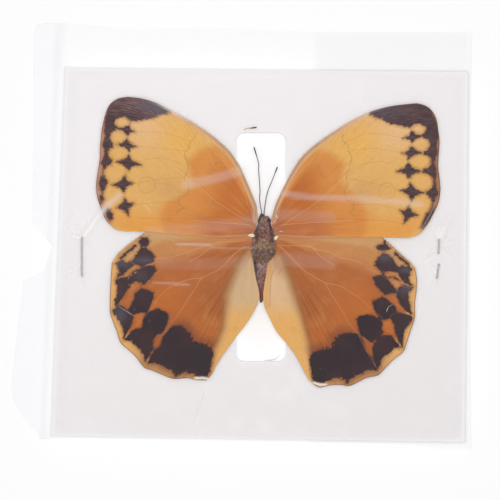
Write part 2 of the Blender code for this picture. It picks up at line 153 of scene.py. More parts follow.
def closedSheet(grid, thickness):
    # two faces, half a thickness to each side of a sheet along its normals, with a strip round the rim;
    # a normal is the cross product of the two grid directions
    cross = unit(np.cross(np.gradient(grid, axis=0), np.gradient(grid, axis=1)))
    cross *= np.sign(cross[..., 2].mean() + 1e-12)
    rows, columns = grid.shape[:2]
    half = cross * np.broadcast_to(thickness / 2, (rows, columns))[..., None]
    count = rows * columns
    index = np.arange(count).reshape(rows, columns)
    rim = np.concatenate([index[0, :-1], index[:-1, -1], index[-1, :0:-1], index[:0:-1, 0]])
    ahead = np.roll(rim, -1)
    upper = gridFaces(rows, columns)
    strip = np.stack([rim, ahead, ahead + count, rim + count], axis=1)
    faces = np.concatenate([upper, upper[:, ::-1] + count, strip])
    return np.concatenate([grid + half, grid - half]).reshape(-1, 3), faces, noTips


def tubeShape(rings, poles):
    # rings of places joined one to the next, with a fan of triangles to a pole at each end
    rows, sides = rings.shape[:2]
    k = np.arange(sides)
    ahead, last, pole = (k + 1) % sides, (rows - 1) * sides, np.full(sides, rows * sides)
    tips = np.concatenate([np.stack([k, ahead, pole], 1), np.stack([k + last, ahead + last, pole + 1], 1)])
    return np.vstack([rings.reshape(-1, 3), poles]), gridFaces(rows, sides, wrap=True), tips


def sweep(path, sections, side=None):
    # a tube: each section is a ring of (across, up) offsets set square to the path; across is level, or
    # turned from side where that is given
    run = unit(np.gradient(path, axis=0))
    if side is None:
        across = np.cross(run, (0, 0, 1.0))
        across[np.linalg.norm(across, axis=1) < 0.05] = (1, 0, 0)
    else:
        across = side - run * (run @ side)[:, None]
    across = unit(across)
    rise = np.cross(across, run)
    return tubeShape(path[:, None] + sections[..., :1] * across[:, None] + sections[..., 1:] * rise[:, None],
                     path[[0, -1]])


def roundSections(radii, sides, flatten=1.0):
    # one circle of each radius, pressed to a share of its height
    angle = np.arange(sides) * 2 * np.pi / sides
    return radii[:, None, None] * np.stack([np.cos(angle), np.sin(angle) * flatten], axis=1)


def joinShapes(shapes):
    # several (places, quads, triangles) as one: indices move past the places before them
    starts = np.cumsum([0] + [len(shape[0]) for shape in shapes[:-1]])
    return [np.vstack([shape[k] + start * (k > 0) for shape, start in zip(shapes, starts)]) for k in range(3)]


def newObject(name, data):
    # an object of its own in the scene
    made = bpy.data.objects.new(name, data)
    bpy.context.scene.collection.objects.link(made)
    return made


def makePiece(name, shape, finish, replaced, fields={}, grain=None):
    # a mesh from whole arrays; fields are one number or one colour for each place, grain is its UV map
    places, quads, tips = shape
    corners = np.r_[quads.ravel(), tips.ravel()].astype(np.int32)
    sizes = np.repeat([4, 3], [len(quads), len(tips)])
    mesh = bpy.data.meshes.new(name)
    mesh.vertices.add(len(places))
    mesh.vertices.foreach_set("co", (places * mm).astype(np.float32).ravel())
    mesh.loops.add(len(corners))
    mesh.loops.foreach_set("vertex_index", corners)
    mesh.polygons.add(len(sizes))
    mesh.polygons.foreach_set("loop_start", (np.cumsum(sizes) - sizes).astype(np.int32))
    mesh.update(calc_edges=True)
    for field, values in fields.items():
        kind, key = ("FLOAT", "value") if values.ndim == 1 else ("FLOAT_COLOR", "color")
        if values.ndim == 2:
            values = np.c_[values, np.ones(len(values))]
        mesh.attributes.new(field, kind, "POINT").data.foreach_set(key, values.astype(np.float32).ravel())
    if grain is not None:
        mesh.uv_layers.new(name="grain").data.foreach_set("uv", grain[corners].astype(np.float32).ravel())
    work = bmesh.new()
    work.from_mesh(mesh)
    bmesh.ops.recalc_face_normals(work, faces=work.faces)
    work.to_mesh(mesh)
    work.free()
    mesh.shade_smooth()
    mesh.materials.append(finish)
    piece = newObject(name, mesh)
    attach(piece, "root")
    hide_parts(*replaced)


def newMaterial(name):
    # a material with an empty node tree, and the function that adds nodes to it
    made = bpy.data.materials.new(name)
    made.use_nodes = True
    made.node_tree.nodes.clear()
    return made, partial(addNode, made.node_tree)


def addNode(tree, kind, settings={}, inputs={}, output=0):
    # one node; each input takes another node's socket, a number, a vector or a hex colour
    made = tree.nodes.new("ShaderNode" + kind)
    for name, value in settings.items():
        setattr(made, name, value)
    for name, value in inputs.items():
        if isinstance(value, bpy.types.NodeSocket):
            tree.links.new(value, made.inputs[name])
        else:
            made.inputs[name].default_value = (*hexToLinear(value), 1) if isinstance(value, str) else value
    return made.outputs[output] if made.outputs else None


# settings that many nodes share
mixed = {"data_type": "RGBA"}
stained = {"data_type": "RGBA", "blend_type": "MULTIPLY"}
smooth = {"interpolation_type": "SMOOTHSTEP"}
times, plus, larger, positive, power, timesPlus = ({"operation": name} for name in (
    "MULTIPLY", "ADD", "MAXIMUM", "ABSOLUTE", "POWER", "MULTIPLY_ADD"))


def coated(add, colour, *coats):
    # colours mixed over one another; each coat is what it follows, from where to where it fades in, how
    # strong it is, its colour and, for some, what else it is held to
    for source, start, full, strength, coat, *within in coats:
        share = add("MapRange", smooth, {0: source, 1: start, 2: full, 4: strength})
        for limit in within:
            share = add("Math", times, {0: share, 1: limit})
        colour = add("Mix", mixed, {0: share, 6: colour, 7: coat}, 2)
    return colour


cameraSettings = {"middle": (2.76, -4.47), "width": 162.5, "lens": 250, "sensor": 36}


def makeCamera():
    # as high over the board as the lens needs to see the given width
    c = cameraSettings
    data = bpy.data.cameras.new("camera")
    data.lens, data.sensor_width = c["lens"], c["sensor"]
    data.clip_start, data.clip_end = 0.01, 20
    camera = newObject("camera", data)
    camera.location = np.array([*c["middle"], boardFace + c["width"] * c["lens"] / c["sensor"]]) * mm
    bpy.context.scene.camera = camera


lightSettings = {"world": 0.44, "ring": 6, "reach": 120, "height": 1000, "size": 180, "power": 1.08,
                 "key": (-420, 560, 1000), "keySize": 260, "keyPower": 0.40}


def makeLights():
    # a ring of soft panels close round the camera's axis, which the film does not mirror, and one weak
    # panel to the side, which it does
    s = lightSettings
    world = bpy.data.worlds.new("studio")
    world.use_nodes = True
    ground = world.node_tree.nodes["Background"].inputs
    ground[0].default_value = (*hexToLinear("#fbf8f7"), 1)
    ground[1].default_value = s["world"]
    bpy.context.scene.world = world
    turn = (np.arange(s["ring"]) + 0.5) * 2 * np.pi / s["ring"]
    places = np.c_[np.cos(turn) * s["reach"], np.sin(turn) * s["reach"], np.full(len(turn), s["height"])]
    for k, place in enumerate([*places, np.array(s["key"])]):
        isKey = k == s["ring"]
        data = bpy.data.lights.new(f"panel_{k}", "AREA")
        data.shape = "DISK"
        data.size = s["keySize" if isKey else "size"] * mm
        data.energy = s["keyPower" if isKey else "power"]
        panel = newObject(f"panel_{k}", data)
        panel.location = place * mm
        x, y, z = place
        panel.rotation_euler = (0, np.arctan2(np.hypot(x, y), z), np.arctan2(y, x))
        panel.visible_glossy = isKey


def makeFloor():
    # a matt white sheet with a little light from below, which keeps the shade at the board's foot pale
    finish, add = newMaterial("lit white sheet")
    card = add("BsdfPrincipled", {}, {"Base Color": "#cccccd", "Roughness": 0.9, "Specular IOR Level": 0.1,
                                      "Emission Color": "#ffffff", "Emission Strength": 0.34})
    add("OutputMaterial", {}, {"Surface": card})
    reach = 1.6  # metres
    mesh = bpy.data.meshes.new("floor")
    mesh.from_pydata([(-reach, -reach, 0), (reach, -reach, 0), (reach, reach, 0), (-reach, reach, 0)], [],
                     [(0, 1, 2, 3)])
    mesh.materials.append(finish)
    floor = newObject("floor", mesh)


makeCamera()
makeLights()
makeFloor()
view = bpy.context.scene.view_settings
view.view_transform = "Standard"
view.look = "None"
print("stage: camera, panels and floor")


boardShape = {
    "slotLow": (-1.8, -40.8), "slotHigh": (14.5, 33.7), "slotRadius": 2.8,
    "edgeRadius": 0.04, "around": 720, "across": 26, "down": 9, "waver": 0.12,
    "sliver": [(7.4, -40.35), (9.2, -40.3), (10.8, -39.95), (12.7, -38.6)],
}


def slotOutline():
    # a rounded rectangle walked once round, counter-clockwise from the middle of its right side
    low, high = np.array(boardShape["slotLow"]), np.array(boardShape["slotHigh"])
    radius = boardShape["slotRadius"]
    centre, half = (low + high) / 2, (high - low) / 2
    corners = []
    for k, sides in enumerate(((1, 1), (-1, 1), (-1, -1), (1, -1))):
        turn = np.linspace(0, np.pi / 2, 9) + k * np.pi / 2
        corners.append(centre + (half - radius) * sides + radius * np.c_[np.cos(turn), np.sin(turn)])
    start = centre + (half[0], 0)
    return evenSteps(np.vstack([start, *corners, start]), boardShape["around"] + 1)[:-1]


def boardOutline(inner):
    # for each slot place, where the line to it from the slot's middle, drawn out, meets the board's sides
    centre = (np.array(boardShape["slotLow"]) + boardShape["slotHigh"]) / 2

    def turnOf(places):
        # the angle of each place round the slot's middle
        return np.arctan2(*(places - centre).T[::-1])

    corner = np.array(boardCorners)
    corner = corner[np.argsort(turnOf(corner))]
    sides = evenSteps(np.vstack([corner, corner[:1]]), 4000)[:-1]
    turn, spin = np.unwrap(turnOf(sides)), np.unwrap(turnOf(inner))
    # the slot is far longer than wide, so the outer turn blends the true angle with an even walk
    even = np.linspace(0, 2 * np.pi, len(inner), endpoint=False)
    aim = spin[0] + 0.25 * (spin - spin[0]) + 0.75 * even
    turns = np.concatenate([turn - 2 * np.pi, turn, turn + 2 * np.pi])
    outer = np.stack([np.interp(aim, turns, np.tile(column, 3)) for column in sides.T], axis=1)
    # the nearest steps are moved onto the board's corners so that the corners stay sharp
    outer[np.argmin(np.linalg.norm(outer[:, None] - corner, axis=2), axis=0)] = corner
    return outer


def ringNormals(ring):
    # the chord between each place's neighbours, turned a quarter to its right
    chord = np.roll(ring, -1, axis=0) - np.roll(ring, 1, axis=0)
    return unit(np.c_[chord[:, 1], -chord[:, 0]])


def foamMaterial():
    # Extruded polystyrene foam board: white and matt. Cells of about 0.3 mm and a pressed skin give the
    # eye a faint pebbled grey; the cut edges show coarser cells.
    finish, add = newMaterial("extruded polystyrene foam")
    place = add("TexCoord", output="Object")
    cells = add("TexVoronoi", {}, {"Vector": place, "Scale": 1 / (0.45 * mm)})
    mottle = add("TexNoise", {}, {"Vector": place, "Scale": 1 / (9 * mm), "Detail": 3})
    x, y = (add("SeparateXYZ", {}, {"Vector": place}, axis) for axis in "XY")
    # painted light: the face is a little lighter towards the top left and a little darker towards the bottom
    # right, as the light falls across it
    fall = add("Math", plus, {0: y, 1: add("Math", timesPlus, {0: x, 1: -0.4, 2: 0.0})})
    skin, border, cut = (add("Attribute", {"attribute_name": name}, output="Fac") for name in
                         ("skin", "border", "cut"))
    paintedFalloff = add("MapRange", {}, {0: fall, 1: -0.08, 2: 0.06})
    # painted light and shade: the border mark lays a faint bluish grey along the outer edges as painted shade,
    # and at 2 paints the thread by the slot dark grey as its shadow; the edge-light mark whitens the face
    # beside each cut edge, and the cut sides are set near white, as painted light that keeps the edges from
    # looking shaded
    colour = coated(add, add("Mix", mixed, {0: paintedFalloff, 6: "#e9e6e6", 7: "#f0edee"}, 2),
                    (mottle, 0.5, 0.8, 0.5, "#f2efef"), (border, 0.0, 1.0, 0.3, "#e4e4ea"),
                    (cells, 0.15, 0.5, 0.10, "#c7c6c9"), (cut, 0.0, 1.0, 0.9, "#ffffff"),
                    (skin, 0.9, 0.1, 1.0, "#fbfaf9"), (border, 1.4, 1.9, 1.0, "#a2969a"))
    rough = add("Math", times, {0: cells, 1: add("Math", timesPlus, {0: skin, 1: -1.0, 2: 1.25})})
    normal = add("Bump", {}, {"Height": rough, "Distance": 0.12 * mm, "Strength": 0.5})
    foam = add("BsdfPrincipled", {}, {"Base Color": colour, "Roughness": 0.72, "Specular IOR Level": 0.3,
                                      "Subsurface Weight": 0.9, "Subsurface Radius": (1, 1, 1),
                                      "Subsurface Scale": 2.5 * mm, "Normal": normal})
    add("OutputMaterial", {}, {"Surface": foam})
    return finish


def makeBoard():
    # one closed ring: from the slot's upper edge outwards over the face, down the cut side, back under,
    # up the slot
    b = boardShape
    inner = slotOutline()
    outer = boardOutline(inner)
    turn = np.linspace(0, 2 * np.pi, b["around"], endpoint=False)
    top, low, r = boardFace, boardBack, b["edgeRadius"]
    outward, inward = ringNormals(outer), ringNormals(inner)
    flatInner, flatOuter = inner + inward * r, outer - outward * r
    wide = np.linalg.norm(flatOuter - flatInner, axis=1).mean()
    # hand-cut sides: shallow waves that the knife left, deepest halfway down
    knife = b["waver"] * (0.5 * np.sin(7 * turn + 1) + 0.3 * np.sin(23 * turn) + 0.2 * np.sin(61 * turn + 2))
    spread = fade(np.linspace(0, 1, b["across"]), 0, 1)
    quarter = np.linspace(0, np.pi / 2, 4)
    depths = np.linspace(0, 1, b["down"])[1:-1]
    rows, marks = [], []

    def addRow(flat, height, *values):
        # one ring of places at a height, and how much skin, painted edge shade (border) and painted edge light
        # it has
        rows.append(np.c_[flat, np.full(len(flat), height)])
        marks.append(np.tile(values, (len(flat), 1)))

    def addArc(ring, away, level, sense, turns, border):
        # a quarter round of radius r along an edge, from the sine and cosine of each turn
        for q in turns:
            addRow(ring + away * r * (1 - np.sin(q)), level + sense * r * (1 - np.cos(q)), 0.6, border, 1.0)

    def addWall(ring, bulge, steps, border):
        # down or up a side, the bulge times depth times what is left of the depth
        for depth in steps:
            addRow(ring + bulge * depth * (1 - depth), top - r - (top - low - 2 * r) * depth, 0.0, border, 1.0)

    # painted light: the face is whitened in a strip 1.6 mm wide beside each cut edge
    for s in spread:
        edgeLightShare = max(0.55 * fade(wide * s, 1.6, 0), 0.4 * fade(wide * (1 - s), 1.6, 0))
        addRow(flatInner * (1 - s) + flatOuter * s, top, 1.0, fade(wide * (1 - s), 6, 0), edgeLightShare)
    addArc(outer, -outward, top, -1, quarter[1:], 1.0)
    addWall(outer, outward * np.minimum(4 * knife, 0)[:, None], depths, 1.0)
    addArc(outer, -outward, low, 1, quarter[::-1], 1.0)
    for s in spread[-2::-1]:
        addRow(flatInner * (1 - s) + flatOuter * s, low, 1.0, 0.3, 1.0)
    addArc(inner, inward, low, 1, quarter[1:], 0.3)
    addWall(inner, inward * np.maximum(2 * knife, 0)[:, None], depths[::-1], 0.3)
    addArc(inner, inward, top, -1, quarter[:0:-1], 0.3)
    count = len(rows)
    faces = gridFaces(count + 1, b["around"], wrap=True) % (count * b["around"])
    # a thread of skin left standing where the knife turned the slot's corner
    strand = curveThrough(b["sliver"], 10)
    thickness = 0.13 * np.sin(np.linspace(0.35, np.pi - 0.1, len(strand))) + 0.02
    thread = sweep(np.c_[strand, np.full(len(strand), boardFace - 0.35)], roundSections(thickness, 8, 0.6))
    # a border mark of 2 paints the thread dark grey: its painted shadow
    marks.append(np.tile((1.0, 2.0, 0.0), (len(thread[0]), 1)))
    shape = joinShapes([(np.vstack(rows), faces, noTips), thread])
    fields = dict(zip(("skin", "border", "cut"), np.vstack(marks).T))
    makePiece("foam_board", shape, foamMaterial(), ["backing_board"], fields)


makeBoard()
print("stage: foam board")


# A wing's outline is its front and rear edge from the root and its margin from rear to front; the rays meet
# at its hub. Its marks are outlines of dark ones, discs cut out of them (x, y, half width, half height), stars
# (middle, then four tips), streaks (line, half width), misty patches (x, y, half width, half height, strength)
# and rings (x, y, radius). Pale, wavy and vein lines follow; the lone numbers are strengths of its looks.
foreLeft = {
    "node": "forewing_left", "side": -1, "lift": foreLift, "hub": (5.6, 2.6),
    "front": [(5, 5.6), (5.1, 8.2), (4.9, 10), (3.6, 13.4), (1.1, 19.3), (-0.5, 22.8), (-3.7, 27.4),
        (-7, 30.6), (-10.2, 33.2), (-16.7, 37.5), (-23.2, 41), (-28.1, 43.5), (-32.7, 44.8), (-36.9, 45.3)],
    "rear": [(3.6, 0.6), (-2.1, -0.1), (-8.3, -0.4), (-16.7, 0.2), (-23.2, 0.8), (-30, 1.5), (-38.2, 1.6)],
    "margin": [(-38.2, 1.6), (-40.8, 2.2), (-42.7, 3.7), (-44.4, 5.9), (-46.3, 10.8), (-47, 13.4),
        (-47.2, 16), (-47, 19), (-46.1, 24.8), (-46, 28), (-45.5, 33.9), (-44.9, 37.1), (-44.2, 39.7),
        (-43.1, 42.3), (-41.4, 44), (-39.5, 44.9), (-36.9, 45.3)],
    "discs": [(-38.6, 36.9, 2.7, 1.9), (-40.1, 32.3, 2.8, 2.3), (-40.1, 26.9, 3.4, 2.4), (-41, 20.5, 4, 3.1),
        (-42.2, 13.8, 2.9, 2.6)],
    "stars": [
        [(-37.5, 34.7), (-40.6, 35), (-36.5, 36), (-34.9, 34), (-36.9, 32.7)],
        [(-37.4, 29.9), (-40.4, 29.8), (-37.3, 31.5), (-34.4, 29.1), (-36.5, 27.8)],
        [(-37, 24.1), (-40.6, 24.2), (-36.7, 26.2), (-32.9, 23.2), (-36.7, 21.5)],
        [(-38.6, 16.9), (-41.9, 16.7), (-37.8, 19.6), (-35.4, 17.2), (-38.2, 14.4)],
        [(-38, 9.7), (-40.4, 9.4), (-38, 12.3), (-35.2, 10.6), (-36.8, 6.9)]],
    "dark": [
        [(-23.4, 40.4), (-26.2, 39.6), (-29.4, 38.5), (-33, 37.7), (-35.9, 37.4), (-38.2, 35.5), (-41, 35),
         (-41.8, 29.9), (-42.1, 24.6), (-43.6, 17), (-44.7, 15), (-44.7, 11.8), (-45.8, 10.6), (-46, 12.6),
         (-45.3, 14), (-46, 15.6), (-46.3, 17.2), (-45.8, 19), (-44.9, 20.8), (-45.1, 22.4), (-45.5, 23.8),
         (-45, 25.4), (-44.3, 27), (-44.7, 28.6), (-45.1, 29.8), (-44.6, 31.2), (-44.2, 32.4), (-44.6, 34.2),
         (-44.5, 36.2), (-43.9, 39.9), (-42.9, 43.4), (-41.5, 46.9), (-29.7, 47.5), (-22.5, 42.6)],
        [(-43.9, 9), (-42.9, 8.8), (-41.9, 7.4), (-41.8, 5.9), (-42.7, 4.9), (-43.9, 6.7)]],
    "pale": [
        [(2.8, 4.9), (0.4, 5.9), (-2.4, 7.4), (-5.9, 9.7), (-8.6, 11.4), (-10.9, 13.6), (-13.8, 16.4),
         (-15.8, 18.1), (-16.8, 19.9), (-17.7, 21.2)],
        [(-14.8, 34), (-12.3, 31.8), (-9.4, 29.3), (-7.3, 27.3), (-5.4, 25.1), (-3.4, 22.6), (-1.4, 20.1),
         (0.1, 17.6), (1.3, 15.4), (2.3, 13.1), (3.2, 9.5), (3.4, 6.5)],
        [(-16, 34.3), (-10.6, 29.4), (-6, 24.4), (-2.4, 19.6), (0.5, 14.8), (2.2, 10)],
        [(-15.8, 5.2), (-9.8, 4.6), (-2.4, 4.1), (2.6, 3.7)]],
    "lines": [
        [(-14.8, 33), (-15.4, 31.8), (-16.5, 30.8), (-16.9, 29.6), (-17.1, 28.5), (-18, 27.8), (-18.4, 27.1),
         (-18.3, 25.8), (-17.9, 24.6), (-17.4, 23.4), (-17.3, 22.1), (-17.8, 20.6), (-18.6, 19.1),
         (-18.5, 18.4), (-17.6, 17.4), (-17.2, 16.1), (-17.3, 14.9), (-18, 13.4), (-19.8, 12.9),
         (-20.3, 11.9), (-20.2, 10.7), (-19, 9.5), (-18, 9.2)],
        [(-18, 9.2), (-19.8, 8.7), (-20.7, 8.2), (-21, 7.2)],
        [(-6.4, 23.8), (-7.3, 24), (-8.4, 23.6), (-8.8, 22.6), (-9.1, 21.6), (-9.8, 20.7), (-10.9, 20.2)],
        [(-1.1, 18.6), (-2.1, 18), (-2.8, 17.1)],
        [(-8.8, 11.4), (-9.8, 10.4), (-10.3, 9.4)]],
    "veins": [
        [(-17.7, 21.2), (-20.6, 23.8), (-24.5, 25.1), (-29, 25.2), (-34, 24.3)],
        [(-18.6, 19.1), (-26, 18.6), (-35, 17.1)],
        [(-18, 27.8), (-26, 28.5), (-34.2, 29.2)],
        [(-16.5, 30.8), (-25, 33.5), (-34.6, 34.1)],
        [(-20.3, 11.4), (-28, 10.8), (-35, 10.4)],
        [(2, 3), (-7.3, 6.4), (-14.8, 5.6), (-22.3, 5.7), (-34, 5.9)]],
    "step": [(0, 0.7), (0.3, 0.64), (0.4, 0.56), (0.5, 0.51), (0.6, 0.54), (0.7, 0.57), (0.8, 0.54),
        (0.9, 0.5), (1, 0.46)],
    "rings": [(-30.7, 16.7, 2.6)], "band": 0.95, "bluish": 0.8, "strip": 0.9, "frosty": 0.55, "inlay": 0,
    "core": "#bf6e36", "border": ("#c98a66", 0.3),
}

foreRight = {
    "node": "forewing_right", "side": 1, "lift": foreLift, "hub": (9.6, 2.4),
    "front": [(10, 5.4), (10.2, 7.6), (11.3, 11), (14, 16.7), (17.7, 23.2), (20.2, 26.4), (23.9, 29.7),
        (28.8, 33.2), (35.3, 37.3), (41.8, 40.4), (48.3, 42.2), (54.8, 43), (57, 43.2)],
    "rear": [(11, 0.4), (15.6, -0.1), (20.9, -0.5), (28.7, -0.6), (36.4, -0.3), (44.2, -0.3), (54, -0.6)],
    "margin": [(54, -0.6), (57.4, 0.5), (60, 3.3), (62.2, 7.1), (64, 11.1), (64.6, 15), (64.4, 18.3),
        (63.9, 23.2), (64.3, 30.3), (63.9, 34.5), (63.3, 38.1), (61.9, 40.7), (59.8, 42.4), (57, 43.2)],
    "discs": [(57.3, 34.7, 2.7, 1.9), (58.3, 29.8, 3, 2.4), (58.1, 24.2, 3.7, 2.6), (58.6, 17.5, 3.9, 3.2),
        (58.5, 10.4, 3.7, 3.4)],
    "stars": [
        [(56, 32.5), (58.9, 32.5), (55.3, 34.1), (52.8, 31.9), (55.4, 30.6)],
        [(55.7, 27.3), (58.7, 27.1), (55.3, 29.2), (52.5, 27), (54.2, 25.2)],
        [(55, 21.4), (58.3, 21.1), (54.2, 23.7), (50.6, 21.1), (54.4, 18.9)],
        [(55.5, 14.4), (59.1, 14.1), (54.9, 17.1), (51.8, 14.8), (55.2, 11.7)],
        [(54.4, 7.2), (57.1, 6.8), (54.3, 9.7), (51.7, 8.3), (52.8, 4.4)]],
    "dark": [
        [(42, 39.6), (44, 38.7), (45.9, 38.1), (48.2, 36.9), (51, 36.1), (54.4, 35.4), (56.7, 35.2),
         (59, 32.5), (59.3, 27.1), (58.8, 21.1), (60.1, 13.7), (61.9, 9.9), (62.5, 11.6), (63.8, 13.8),
         (63.4, 15.6), (62.8, 17.6), (63.4, 20.9), (62.5, 24.2), (63.6, 27.2), (63.4, 30), (64, 32.6),
         (63.2, 37.1), (61.4, 41.6), (57.4, 44.9), (49.9, 45.3), (43.4, 42.9)],
        [(62.6, 9.7), (62.4, 7.6), (61.3, 5.6), (59.6, 3.3), (58.2, 2.4), (58.8, 4.3), (60.1, 7.4),
         (61.4, 9.4)]],
    "pale": [
        [(13.6, 3.7), (17.4, 6.4), (21.2, 8.8), (25, 11.5), (28.2, 14), (30.9, 16.7), (33.1, 18.8),
         (34, 19.2)],
        [(30.1, 31.3), (27.1, 29.1), (23.9, 25.9), (20.6, 22.6), (17.4, 18.8), (14.7, 14.5), (12.5, 9.6),
         (12, 5.8)],
        [(30.9, 32.9), (27.1, 30.5), (22.8, 26.7), (19, 22.6), (15.8, 18.3), (13.1, 12.9), (11.4, 8)],
        [(12.8, 3.6), (19, 4.2), (27, 4.6), (36, 5.2)]],
    "lines": [
        [(33.1, 32.9), (32.6, 31.6), (33.4, 30.5), (34.2, 29.9), (34.7, 29), (34.8, 27.5), (35.5, 26.4),
         (35.8, 25), (35.3, 23.7), (35, 22.1), (34.5, 20.5), (33.9, 18.8), (34.5, 16.7), (33.6, 15),
         (33.4, 13.7), (34.2, 11.8), (35.8, 11), (36.6, 9.9), (36.1, 8.3), (35.2, 7.6), (36.3, 6.6),
         (37.4, 5.5)],
        [(24.1, 22.6), (25.3, 22.1), (25.8, 20.5), (26.9, 19.1), (28, 18.8)],
        [(18.5, 16.7), (19.3, 15.3)],
        [(25, 9.9), (25.8, 9.3), (26.1, 8.3)]],
    "veins": [
        [(34, 19.2), (36.5, 21.8), (39.5, 23.4), (46, 24.3), (52, 22.6)],
        [(33.9, 18.8), (42, 17.5), (51.8, 14.8)],
        [(34.8, 27.5), (43, 28.5), (52.5, 27)],
        [(33.4, 30.5), (42, 33.5), (52.6, 31.9)],
        [(35.8, 10), (43, 10.4), (51.7, 8.6)],
        [(13, 2.8), (22, 5.2), (32, 5.6), (44, 5.2), (52, 4.4)]],
    "step": [(0, 0.68), (0.3, 0.62), (0.4, 0.58), (0.5, 0.54), (0.6, 0.52), (0.7, 0.55), (0.8, 0.52),
        (0.9, 0.48), (1, 0.44)],
    "rings": [(47.3, 14.7, 2.6)], "band": 0.45, "bluish": 0.3, "strip": 0.3, "frosty": 0.25, "inlay": 0.35,
    "core": "#b96831", "border": ("#8a604f", 0.8),
}

